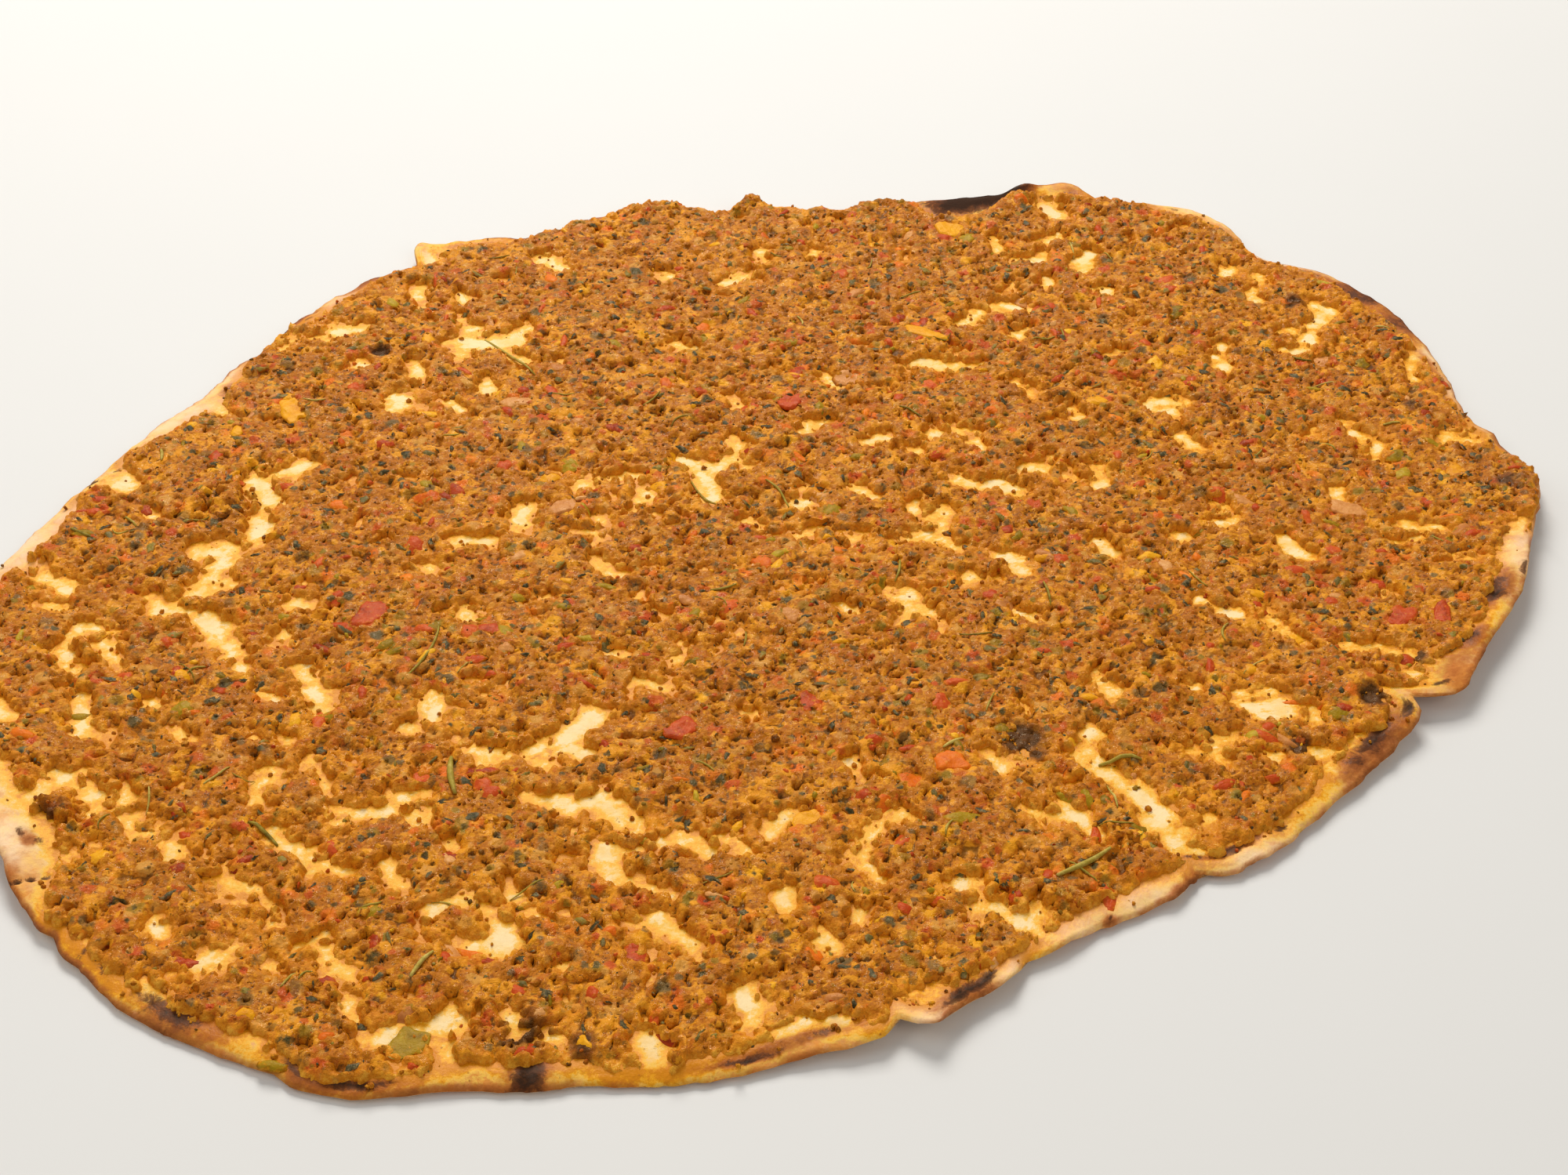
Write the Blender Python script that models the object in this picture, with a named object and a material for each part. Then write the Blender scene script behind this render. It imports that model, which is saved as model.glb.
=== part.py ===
"""A lahmacun: a thin lobed flatbread baked under a crumbly layer of spiced mince.

The bread is one closed sheet with a slightly swollen rim that lifts off the table
here and there. The mince is a second sheet on top of it, open right through at the
larger bare patches. The biggest pieces of pepper, tomato and onion each stand in a
pocket of the mince. Plan sizes are in millimetres about a fixed plan origin, and
the finished part is shifted so that its box stands centred on the world origin.
"""
import math

import bpy
import numpy as np
from mathutils import Vector
from mathutils.geometry import delaunay_2d_cdt

MM = 0.001                   # metres in a millimetre
GAP = 0.3                    # clearance between pieces that touch

# Plan shape of the bread: reach from the hub, then swells and flats round the edge,
# each as (direction in degrees, extra reach, spread in degrees).
HUB = (-9.0, 0.0)
BASE_REACH = 163.0
SWELLS = ((24, 12, 34), (76, -27, 24), (118, -39, 34), (162, -32, 26), (187, -3, 6),
          (208, 3, 14), (243, 13, 20), (276, -8, 22), (318, -22, 34))
DENTS = ((4, 4, 6), (13, -6, 5), (40, -6, 3.5), (49, 5, 5), (60, 7, 3), (81, -2, 4), (91, 2, 2),
         (94, -3, 4), (103, 2, 4), (118, -3, 4), (130, 4, 6), (134, -3, 2), (147, 3, 8),
         (159, 2, 4), (178, -3, 6), (226, 2, 6), (243, -3, 4), (256, -4, 5), (263, -2, 4),
         (284, 1, 2), (298, -8, 10), (308, -2, 4), (336, -2, 2), (340, 2, 4), (351, 2, 6), (20, -3, 5))

BREAD = 1.9                  # thickness of the baked dough
RIM_SWELL = 0.5              # how much thicker the rim is
RIM_ROUND = 0.9              # how far the rim's upper and lower edges are rounded in
# Rim left bare outside the mince: a narrow band all round, and (direction, extra width, spread).
BARE_RIM = 2.0
RIM_WIDTHS = ((165, 4.0, 18), (40, 3.5, 20), (72, -1.0, 8), (103, -1.2, 16), (5, -1.0, 6),
              (212, 4.0, 14), (240, 2.0, 12), (275, 2.0, 14), (318, 3.0, 18), (346, -0.8, 7))
# Where the rim lifts off the table: (direction, height, spread, width of the lifted band).
LIFTS = ((350, 4.5, 20, 46), (62, 3.0, 14, 34), (214, 3.5, 12, 36), (284, 2.5, 8, 24),
         (128, 1.6, 12, 28))

MINCE = 3.2                  # mean thickness of the mince
MINCE_ROUND = 1.4            # how far its upper edge is rounded in
MINCE_LEAST = 1.6            # thinnest place away from its edge
LUMP = 0.55                  # height of the broad lumps
# Clumps and hollows in the mince: (x, y, height, radius).
CLUMPS = ((-117, -9, 2.0, 7), (-129, -100, 1.8, 8), (-122, -30, 0.9, 7), (109, -51, 1.0, 7),
          (46, -73, -1.4, 7), (114, -59, -1.2, 5), (-93, 51, -1.0, 5), (-50, 21, -0.8, 5),
          (98, -73, -0.8, 5), (25, 57, -0.8, 5))
# Bare patches, open through the mince: (x, y, length, width, direction of the length).
PATCHES = ((-68, 56, 17, 9, -5), (-55, -9, 8, 5, 85), (-40, -14, 9, 6, -45), (45, 7, 15, 6, -12),
           (-12, 15, 12, 5, 70), (-17, 3, 10, 5, -55), (124, 76, 17, 6, 65), (72, 101, 11, 5, 75),
           (99, 59, 7, 6, -60), (86, 39, 9, 6, 25), (106, -12, 9, 6, -75), (27, -33, 12, 7, -20),
           (47, -20, 9, 6, -60), (-113, -28, 14, 5, -80), (-108, -51, 15, 6, -48),
           (-88, -66, 7, 6, 0), (-67, -69, 11, 6, -80), (-39, -76, 15, 6, 60),
           (-71, -96, 17, 6, 0), (-125, -91, 9, 5, -25), (-28, -94, 9, 6, -45),
           (-29, -107, 11, 7, -80), (-82, -109, 13, 5, -40), (54, -92, 12, 6, -35),
           (60, -74, 15, 5, -80), (69, -91, 12, 7, -60), (94, -61, 9, 8, 0), (118, -45, 12, 5, -20),
           (-56, -119, 8, 6, -40), (-45, -125, 9, 5, -30), (-93, -132, 10, 6, 30),
           (-51, -145, 9, 6, 30), (-16, -124, 10, 6, -40), (-4, -139, 8, 6, 80),
           (38, -114, 9, 5, 10), (90, -3, 9, 5, 15))
PATCH_POINTS = 10
PATCH_FLARE = 0.7            # how far a patch widens from its foot to its top

# Large vegetable pieces: (name, x, y, length, width, direction of the length, colour).
VEGETABLES = (("pepper_yellow_1", -109, 26, 10.0, 4.6, -62, "yellow"),
              ("pepper_yellow_2", 31, 64, 10.0, 4.4, -18, "yellow"),
              ("pepper_yellow_3", 39, 111, 6.8, 6.2, 70, "yellow"),
              ("pepper_yellow_4", 6, -96, 5.8, 4.4, 30, "yellow"),
              ("pepper_red_1", -81, -43, 9.0, 5.6, 75, "red"),
              ("pepper_red_2", 124, -36, 8.0, 4.6, 60, "red"),
              ("pepper_red_3", 132, -36, 7.2, 3.4, 75, "red"),
              ("pepper_red_4", 1, 35, 6.2, 5.4, 80, "red"),
              ("pepper_orange_1", 32, -80, 7.0, 4.8, 10, "orange"),
              ("tomato_piece_1", -18, -73, 6.6, 5.4, 50, "red"),
              ("pepper_green_1", -59, -150, 7.0, 5.8, 70, "green"),
              ("onion_piece_1", -46, -6, 6.0, 5.4, 20, "onion"),
              ("onion_piece_2", 119, 1, 8.0, 5.2, -15, "onion"))
VEGETABLE_POINTS = 10
VEGETABLE_PROUD = 0.5        # how far a piece stands above the mince round it
VEGETABLE_ROUND = 0.7        # rounding of a piece's upper edge

EDGE_POINTS = 200            # points round the bread
MINCE_POINTS = 150           # points round the mince
BREAD_SPACING = 12.5         # distance between the points of each surface
FLOOR_SPACING = 21.0
MINCE_SPACING = 8.5
MINCE_FOOT_SPACING = 13.0

COLOURS = {                  # base colour, roughness
    "bread": ((0.80, 0.52, 0.21, 1.0), 0.65),
    "mince": ((0.47, 0.18, 0.035, 1.0), 0.50),
    "yellow": ((0.76, 0.41, 0.03, 1.0), 0.35),
    "red": ((0.46, 0.09, 0.035, 1.0), 0.32),
    "orange": ((0.62, 0.20, 0.02, 1.0), 0.35),
    "green": ((0.30, 0.25, 0.03, 1.0), 0.38),
    "onion": ((0.60, 0.34, 0.15, 1.0), 0.35),
}


def bells(direction, bumps):
    """Sum of bell curves round the edge, each (direction, height, spread)."""
    total = np.zeros_like(direction)
    for middle, height, spread in bumps:
        away = (direction - middle + 180.0) % 360.0 - 180.0
        total = total + height * np.exp(-(away / spread) ** 2)
    return total


def edge_reach(direction):
    """Distance from the hub to the bread's edge."""
    return BASE_REACH + bells(direction, SWELLS + DENTS)


def rim_width(direction):
    """Width of the bare rim outside the mince."""
    return np.maximum(BARE_RIM + bells(direction, RIM_WIDTHS), 1.0)


def ring(count, inset):
    """Plan points round the edge, brought in towards the hub by inset."""
    direction = np.arange(count) * 360.0 / count
    reach = edge_reach(direction) - (inset(direction) if callable(inset) else inset)
    angle = np.radians(direction)
    return np.stack((HUB[0] + reach * np.cos(angle), HUB[1] + reach * np.sin(angle)), axis=1)


def polar(points):
    """Direction from the hub in degrees, and distance in from the edge."""
    offset = points - np.array(HUB)
    direction = np.degrees(np.arctan2(offset[:, 1], offset[:, 0])) % 360.0
    return direction, edge_reach(direction) - np.hypot(offset[:, 0], offset[:, 1])


def lift(points):
    """Height of the bread's underside: nothing in the middle, raised at parts of the rim."""
    direction, inward = polar(points)
    height = np.zeros(len(points))
    for middle, most, spread, band in LIFTS:
        rise = np.clip(1.0 - inward / band, 0.0, 1.0) ** 2
        height = height + rise * bells(direction, ((middle, most, spread),))
    return height


def mince_depth(points):
    """Thickness of the mince: crossing waves for lumps, then the clumps and hollows."""
    x, y = points[:, 0], points[:, 1]
    waves = (np.sin(x / 3.1 + 1.3 * np.sin(y / 7.3)) * np.cos(y / 3.7 + np.sin(x / 9.1))
             + 0.7 * np.sin(x / 6.7 - y / 5.3 + 0.8))
    depth = MINCE + LUMP * waves
    for middle_x, middle_y, height, radius in CLUMPS:
        far = np.hypot(x - middle_x, y - middle_y) / radius
        depth = depth + height * np.exp(-far ** 2)
    return np.maximum(depth, MINCE_LEAST)


def blob(x, y, length, width, turn, count, grow=0.0):
    """Plan points of an uneven oval, counter-clockwise."""
    around = np.arange(count) * 2.0 * np.pi / count
    wobble = 1.0 + 0.10 * np.cos(3.0 * around + x) + 0.06 * np.cos(5.0 * around + y)
    along = (length / 2.0 * wobble + grow) * np.cos(around)
    across = (width / 2.0 * wobble + grow) * np.sin(around)
    c, s = math.cos(math.radians(turn)), math.sin(math.radians(turn))
    return np.stack((x + c * along - s * across, y + s * along + c * across), axis=1)


def inside(points, loop):
    """Which points lie inside a closed loop, by counting edge crossings."""
    x, y = points[:, :1], points[:, 1:]
    here, after = loop, np.roll(loop, -1, axis=0)
    spans = (here[:, 1] > y) != (after[:, 1] > y)
    slope = (after[:, 0] - here[:, 0]) / np.where(after[:, 1] == here[:, 1], 1.0, after[:, 1] - here[:, 1])
    crossing = x < here[:, 0] + (y - here[:, 1]) * slope
    return (spans & crossing).sum(axis=1) % 2 == 1


def fill(outer, holes, spacing):
    """Triangulate the plan between an outer loop and its holes, with evenly spread points."""
    low, high = outer.min(axis=0), outer.max(axis=0)
    rows = np.arange(low[1], high[1], spacing * math.sqrt(3.0) / 2.0)
    points = []
    for number, y in enumerate(rows):
        start = low[0] + (number % 2) * spacing / 2.0
        points += [(x, y) for x in np.arange(start, high[0], spacing)]
    points = np.array(points)
    loops = [outer] + holes
    for number, loop in enumerate(loops):
        wanted = number == 0
        points = points[inside(points, loop) == wanted]
        nearest = np.hypot(*(points[:, None, :] - loop[None, :, :]).transpose(2, 0, 1)).min(axis=1)
        clear = spacing * (0.55 if wanted else 0.30)
        points = points[nearest > clear]
    corners = np.concatenate(loops + [points])
    edges, start = [], 0
    for loop in loops:
        edges += [(start + i, start + (i + 1) % len(loop)) for i in range(len(loop))]
        start += len(loop)
    plan, _, faces, origin, _, _ = delaunay_2d_cdt([Vector(p) for p in corners], edges, [], 0, 1e-5)
    if len(plan) != len(corners):
        raise ValueError("two loops of the plan cross")
    back = [source[0] for source in origin]
    triangles = np.array([[back[corner] for corner in face] for face in faces])
    middles = corners[triangles].mean(axis=1)
    keep = inside(middles, outer)
    for hole in holes:
        keep &= ~inside(middles, hole)
    triangles = triangles[keep]
    a, b, c = corners[triangles[:, 0]], corners[triangles[:, 1]], corners[triangles[:, 2]]
    area = (b[:, 0] - a[:, 0]) * (c[:, 1] - a[:, 1]) - (b[:, 1] - a[:, 1]) * (c[:, 0] - a[:, 0])
    triangles[area < 0] = triangles[area < 0][:, ::-1]
    return corners, triangles


def sheet(top, top_height, foot, foot_height, walls, spacings):
    """A closed sheet: an upper and a lower surface, joined by walls of rings.

    top and foot are lists of loops, the outer one first. walls holds, for each loop,
    the rings between them from top to foot, as (plan points, heights).
    """
    upper_plan, upper_faces = fill(top[0], top[1:], spacings[0])
    lower_plan, lower_faces = fill(foot[0], foot[1:], spacings[1])
    points = [np.column_stack((upper_plan, top_height(upper_plan))),
              np.column_stack((lower_plan, foot_height(lower_plan)))]
    start_lower = len(upper_plan)
    faces = [tuple(f) for f in upper_faces]
    faces += [tuple(start_lower + f[::-1]) for f in lower_faces]
    next_free = start_lower + len(lower_plan)
    begin = 0
    for number, loop in enumerate(top):
        count = len(loop)
        above = begin + np.arange(count)
        rings = []
        for plan, height in walls[number]:
            points.append(np.column_stack((plan, height)))
            rings.append(next_free + np.arange(count))
            next_free += count
        rings.append(start_lower + begin + np.arange(count))
        for below in rings:
            for i in range(count):
                j = (i + 1) % count
                quad = (above[i], below[i], below[j], above[j])
                faces.append(quad if number == 0 else quad[::-1])
            above = below
        begin += count
    return np.concatenate(points), faces


def solid(name, points, faces, colour, shift):
    """Make the object for one node, in metres."""
    places = (points - np.array((shift[0], shift[1], 0.0))) * MM
    mesh = bpy.data.meshes.new(name)
    mesh.from_pydata([tuple(p) for p in places.tolist()], [], [tuple(int(i) for i in f) for f in faces])
    mesh.validate()
    mesh.shade_smooth()
    mesh.set_sharp_from_angle(angle=math.radians(50.0))
    base, rough = COLOURS[colour]
    material = bpy.data.materials.new(name + "_finish")
    material.use_nodes = True
    shader = material.node_tree.nodes["Principled BSDF"]
    shader.inputs["Base Color"].default_value = base
    shader.inputs["Roughness"].default_value = rough
    shader.inputs["Metallic"].default_value = 0.0
    mesh.materials.append(material)
    piece = bpy.data.objects.new(name, mesh)
    bpy.context.scene.collection.objects.link(piece)


def make_flatbread(shift):
    """The dough: flat below, rounded at the edge, with the rim a little thicker."""
    edge = ring(EDGE_POINTS, 0.0)
    crown = ring(EDGE_POINTS, RIM_ROUND)

    def upper(points):
        direction, inward = polar(points)
        swell = np.clip(1.0 - (inward - RIM_ROUND) / (rim_width(direction) + RIM_ROUND), 0.0, 1.0)
        return lift(points) + BREAD + RIM_SWELL * np.minimum(swell * 2.0, 1.0)

    foot_of_rim = ring(EDGE_POINTS, lambda d: rim_width(d) + 2.0 * RIM_ROUND)
    middle = (edge, lift(edge) + (BREAD + RIM_SWELL) / 2.0)
    walls = [[(crown, upper(crown)), middle]]
    points, faces = sheet([foot_of_rim], lambda p: lift(p) + BREAD, [crown], lift, walls,
                          (BREAD_SPACING, FLOOR_SPACING))
    solid("flatbread", points, faces, "bread", shift)


def make_mince(shift):
    """The mince: lumpy on top, rounded at its edge, open at the patches and pockets."""
    shoulder = ring(MINCE_POINTS, lambda d: rim_width(d) + 2.0 * RIM_ROUND + MINCE_ROUND)
    edge = ring(MINCE_POINTS, lambda d: rim_width(d) + 2.0 * RIM_ROUND)

    def lower(points):
        return lift(points) + BREAD + GAP

    def upper(points):
        return lower(points) + mince_depth(points)

    top = [shoulder]
    foot = [edge]
    walls = [[(edge, lower(edge) + 0.55 * mince_depth(edge))]]
    for x, y, length, width, turn in PATCHES:
        top.append(blob(x, y, length, width, turn, PATCH_POINTS, PATCH_FLARE))
        foot.append(blob(x, y, length, width, turn, PATCH_POINTS))
        walls.append([])
    for _, x, y, length, width, turn, _ in VEGETABLES:
        top.append(blob(x, y, length, width, turn, VEGETABLE_POINTS, GAP))
        foot.append(blob(x, y, length, width, turn, VEGETABLE_POINTS, GAP))
        walls.append([])
    points, faces = sheet(top, upper, foot, lower, walls, (MINCE_SPACING, MINCE_FOOT_SPACING))
    solid("mince_topping", points, faces, "mince", shift)


def make_vegetable(name, x, y, length, width, turn, colour, shift):
    """One diced piece: an uneven oval block with a rounded upper edge."""
    outline = blob(x, y, length, width, turn, VEGETABLE_POINTS)
    top = blob(x, y, length, width, turn, VEGETABLE_POINTS, -VEGETABLE_ROUND)
    around = np.concatenate((outline, [[x, y]]))
    bottom = float(lift(around).max()) + BREAD + 2.0 * GAP
    height = float((lift(around) + BREAD + GAP + mince_depth(around)).mean()) + VEGETABLE_PROUD
    count = VEGETABLE_POINTS
    levels = ((outline, bottom), (outline, height - VEGETABLE_ROUND), (top, height))
    points = np.concatenate([np.column_stack((plan, np.full(count, z))) for plan, z in levels])
    faces = [tuple(range(count))[::-1]]
    for level in range(2):
        for i in range(count):
            j = (i + 1) % count
            low = level * count
            faces.append((low + i, low + j, low + count + j, low + count + i))
    faces.append(tuple(2 * count + i for i in range(count)))
    solid(name, points, faces, colour, shift)


def main():
    for old in list(bpy.data.objects):
        bpy.data.objects.remove(old, do_unlink=True)
    edge = ring(EDGE_POINTS, 0.0)
    shift = (edge.min(axis=0) + edge.max(axis=0)) / 2.0
    make_flatbread(shift)
    make_mince(shift)
    for piece in VEGETABLES:
        make_vegetable(*piece, shift)


main()
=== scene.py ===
import math

import bpy
import numpy as np
from mathutils import Matrix, Vector


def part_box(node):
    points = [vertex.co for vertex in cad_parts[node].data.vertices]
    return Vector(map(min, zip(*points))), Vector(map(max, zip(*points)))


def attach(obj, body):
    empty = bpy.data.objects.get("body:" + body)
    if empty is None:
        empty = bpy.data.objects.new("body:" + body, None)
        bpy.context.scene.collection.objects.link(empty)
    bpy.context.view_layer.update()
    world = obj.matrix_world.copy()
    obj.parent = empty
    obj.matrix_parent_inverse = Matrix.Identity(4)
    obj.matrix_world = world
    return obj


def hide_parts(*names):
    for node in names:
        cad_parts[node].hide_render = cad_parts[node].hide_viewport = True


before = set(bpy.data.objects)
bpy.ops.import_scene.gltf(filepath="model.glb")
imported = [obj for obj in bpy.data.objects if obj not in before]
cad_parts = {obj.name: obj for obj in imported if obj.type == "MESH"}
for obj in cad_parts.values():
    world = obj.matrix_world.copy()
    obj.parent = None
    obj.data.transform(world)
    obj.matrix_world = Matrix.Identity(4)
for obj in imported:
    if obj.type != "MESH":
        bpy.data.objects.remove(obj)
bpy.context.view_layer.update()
mm = 0.001

# Plan sizes are in millimetres and directions in degrees, as in the CAD.
# Each bump is (direction, amount, spread).
bread = {
    "hub": (-9.0, 0.0),
    "reach": 163.0,      # from the hub to the edge, before the swells
    "swells": ((24, 12, 34), (76, -27, 24), (118, -39, 34), (162, -32, 26), (187, -3, 6), (208, 3, 14),
               (243, 13, 20), (276, -8, 22), (318, -22, 34), (4, 4, 6), (13, -6, 5), (40, -6, 3.5),
               (49, 5, 5), (60, 7, 3), (81, -2, 4), (91, 2, 2), (94, -3, 4), (103, 2, 4), (118, -3, 4),
               (130, 4, 6), (134, -3, 2), (147, 3, 8), (159, 2, 4), (178, -3, 6), (226, 2, 6),
               (243, -3, 4), (256, -4, 5), (263, -2, 4), (284, 1, 2), (298, -8, 10), (308, -2, 4),
               (336, -2, 2), (340, 2, 4), (351, 2, 6), (20, -3, 5)),
    # torn nicks and tongues of the edge, on top of the swells
    "nicks": ((130, 1.5, 1.0), (132.4, -3.4, 1.0), (282, -2.4, 0.8), (284.4, 1.8, 0.8),
              (292.5, -1.4, 1.2), (306, 1.2, 1.0), (309, -2.0, 0.7), (335.6, -3.2, 0.8), (338, 1.2, 1.5),
              (156, -1.2, 1.0), (114, -1.5, 1.2), (10.5, 1.0, 0.8), (229, -0.8, 1.0), (245.6, -1.0, 1.0)),
    "thick": 1.9,        # inside the rim
    "puff": 0.18,        # how much the bare rim is puffed up
    "lip": 1.0,          # thickness of the outermost edge
    "taper": 3.2,        # width over which the rim thins towards the lip
    "rounding": 0.6,     # width over which the very edge is rounded
    # (direction, width of the bare rim)
    "rimWidths": ((0, 0.3), (3, 0.4), (6, 1.6), (10.5, 3.2), (13, 1.6), (16, 2.2), (22, 3.8), (26, 4.0),
                  (31, 5.4), (37, 3.0), (43, 2.5), (50, 5.0), (54.5, 0.6), (56.5, 1.5), (60, 7.5),
                  (62.8, 2.0), (65, 9.5), (69, 10.0), (72, 3.0), (75, 0.3), (80, 2.4), (88, 2.6),
                  (91, 0.3), (94, 2.2), (98, 2.0), (101, 0.3), (105, 0.5), (109, 3.2), (113, 1.5),
                  (116, 0.4), (121, 3.0), (127, 3.2), (130, 6.0), (133, 1.5), (137, 2.2), (143, 3.2),
                  (149, 2.3), (155, 0.5), (160, 3.0), (165, 5.0), (171, 5.4), (174.5, 3.6), (176.3, 1.2),
                  (179, 6.6), (183, 2.6), (188, 6.0), (192, 3.4), (200, 2.6), (208, 3.6), (214, 8.0),
                  (219, 8.4), (223.6, 8.8), (225.4, 6.4), (227.4, 2.4), (231, 2.6), (238, 3.6),
                  (243, 4.2), (247, 2.2), (251, 2.4), (256, 4.6), (260, 4.6), (264, 2.4), (269, 3.0),
                  (277, 5.6), (281, 2.4), (285, 4.6), (289, 4.6), (292.5, 1.6), (296, 3.8), (302, 4.2),
                  (306, 5.0), (309, 3.0), (313, 5.2), (318, 4.0), (323, 4.4), (329, 6.2), (333, 3.0),
                  (335.5, 6.0), (340, 8.0), (344, 3.4), (347, 4.0), (350, 5.6), (354.5, 5.6), (357, 0.5)),
    # where the rim stands off the table: (direction, height, spread, band)
    "lifts": ((350, 4.5, 20, 46), (62, 3.0, 14, 34), (214, 3.5, 12, 36), (284, 2.5, 8, 24),
              (128, 1.6, 12, 28)),
    # short stretches where the very edge curls up: (direction, height, spread, band)
    "curls": ((284.3, 1.6, 1.2, 5), (290.5, 1.2, 1.0, 4), (296, 0.9, 2.0, 5), (306, 1.0, 2.0, 6),
              (314, 0.8, 3.0, 5), (335, 1.2, 1.5, 7), (340, 0.8, 2.0, 7), (62.8, 2.2, 1.0, 6),
              (59, 1.0, 3.0, 8), (130, 1.2, 1.2, 6), (176, 0.8, 2.0, 6), (221.5, 1.2, 2.6, 9),
              (11, 0.9, 1.5, 5), (354, 0.8, 2.5, 6), (48, 0.6, 4.0, 5)),
    # creases that part the rim in two layers: (direction, distance in, spread, depth)
    "creases": ((250, 2.1, 2.8, 0.6), (239, 3.9, 2.0, 0.2), (272, 2.2, 3.2, 0.7), (277.5, 3.5, 3.0, 1.0),
                (287.5, 2.6, 2.0, 0.9), (312, 4.3, 3.0, 0.9), (318, 3.2, 1.6, 0.5), (330, 4.4, 2.6, 0.6),
                (334, 2.6, 0.8, 0.7), (344, 3.8, 1.4, 0.5), (350, 4.4, 1.8, 0.5), (5, 2.2, 2.6, 0.6),
                (19, 3.6, 1.8, 0.4), (41, 3.7, 3.6, 0.7), (112, 1.8, 2.0, 0.4), (143, 3.4, 1.8, 0.4),
                (163, 4.5, 1.0, 0.5), (124, 2.6, 3.0, 0.4)),
    "crack": (224.3, 7.5, 0.9),  # direction, length and depth of the one crack across the rim
    "cells": 288,        # squares along one side of the upper surface
    "floorStep": 3,      # the underside has one square for this many
}


def bells(direction, bumps):
    # sum of height * exp(-(angle away / spread)^2) round the edge
    total = np.zeros_like(direction)
    for middle, height, spread in bumps:
        away = (direction - middle + 180.0) % 360.0 - 180.0
        total = total + height * np.exp(-(away / spread) ** 2)
    return total


def edgeReach(direction):
    # the swells and nicks, and a wander of a few tenths of a millimetre
    a = np.radians(direction)
    x, y = 150 * np.cos(a), 150 * np.sin(a)
    wander = 0.5 * softNoise(x, y, 7.0, 71) + 0.3 * softNoise(x, y, 2.6, 72) + 0.22 * softNoise(x, y, 1.2, 74)
    return bread["reach"] + bells(direction, bread["swells"] + bread["nicks"]) + wander


def rimWidth(direction):
    towards, widths = np.array(bread["rimWidths"]).T
    return np.interp(direction, towards, widths, period=360.0)


def polar(x, y):
    # direction from the hub, and distance in from the edge
    dx, dy = x - bread["hub"][0], y - bread["hub"][1]
    direction = np.degrees(np.arctan2(dy, dx)) % 360.0
    return direction, edgeReach(direction) - np.hypot(dx, dy)


def lift(x, y):
    # the bread's underside: (1 - distance in / band)^2 * bell round the edge, summed over the lifts
    direction, inward = polar(x, y)
    height = np.zeros_like(x)
    for middle, most, spread, band in bread["lifts"]:
        rise = np.clip(1.0 - inward / band, 0.0, 1.0) ** 2
        height = height + rise * bells(direction, ((middle, most, spread),))
    return height


def smooth(t):
    t = np.clip(t, 0.0, 1.0)
    return t * t * (3.0 - 2.0 * t)


def softNoise(x, y, size, seed):
    # random heights from -1 to 1 on a square lattice, blended by smoothstep between its points
    lattice = 128
    table = np.random.default_rng(seed).uniform(-1.0, 1.0, (lattice, lattice))
    u, v = x / size + 4 * lattice, y / size + 4 * lattice
    i, j = np.floor(u).astype(int), np.floor(v).astype(int)
    a, b = smooth(u - i), smooth(v - j)
    i0, i1, j0, j1 = i % lattice, (i + 1) % lattice, j % lattice, (j + 1) % lattice
    low = table[i0, j0] * (1.0 - a) + table[i1, j0] * a
    high = table[i0, j1] * (1.0 - a) + table[i1, j1] * a
    return low * (1.0 - b) + high * b


def layered(x, y, size, seed, octaves=3):
    # softNoise at size, size/2, size/4..., each 0.55 times as strong as the one before
    total, strength, norm = 0.0, 1.0, 0.0
    for octave in range(octaves):
        total = total + strength * softNoise(x, y, size / 2 ** octave, seed + octave)
        norm += strength
        strength *= 0.55
    return total / norm


def crumble(x, y, size, seed, dome=0.4):
    # crumbs packed side by side: one random point in each lattice square. With near and after the
    # distances to the two closest points, height is tall * (0.65 + 0.35 * crease) * (1 - dome * near^2),
    # where crease is smoothstep((after - near) / 0.3)
    lattice = 96
    rng = np.random.default_rng(seed)
    shiftX, shiftY = rng.random((lattice, lattice)), rng.random((lattice, lattice))
    tall, shade = rng.uniform(0.35, 1.0, (lattice, lattice)), rng.random((lattice, lattice))
    u, v = x / size + 5 * lattice, y / size + 5 * lattice
    i, j = np.floor(u).astype(int), np.floor(v).astype(int)
    near, after = np.full_like(u, 9.0), np.full_like(u, 9.0)
    height, tone = np.zeros_like(u), np.zeros_like(u)
    for di in (-1, 0, 1):
        for dj in (-1, 0, 1):
            p, q = (i + di) % lattice, (j + dj) % lattice
            away = np.hypot(u - i - di - shiftX[p, q], v - j - dj - shiftY[p, q])
            closer = away < near
            after = np.where(closer, near, np.minimum(after, away))
            near = np.where(closer, away, near)
            height, tone = np.where(closer, tall[p, q], height), np.where(closer, shade[p, q], tone)
    crease = smooth((after - near) / 0.3)
    return height * (0.65 + 0.35 * crease) * (1.0 - dome * near ** 2), tone, near


def blurred(field, reach):
    # Gaussian blur of a grid, reach in cells, done on its waves
    rows, columns = np.fft.fftfreq(field.shape[0])[:, None], np.fft.rfftfreq(field.shape[1])[None, :]
    damp = np.exp(-2.0 * (math.pi * reach) ** 2 * (rows ** 2 + columns ** 2))
    return np.fft.irfft2(np.fft.rfft2(field) * damp, field.shape)


ring = np.radians(np.arange(200) * 1.8)
ringReach = bread["reach"] + bells(np.degrees(ring), bread["swells"])
ringX = bread["hub"][0] + ringReach * np.cos(ring)
ringY = bread["hub"][1] + ringReach * np.sin(ring)
planMiddle = ((ringX.min() + ringX.max()) / 2, (ringY.min() + ringY.max()) / 2)


def toWorld(x, y, z):
    # plan millimetres to metres in the CAD's frame
    return np.stack(((x - planMiddle[0]) * mm, (y - planMiddle[1]) * mm, z * mm), axis=-1)


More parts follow.
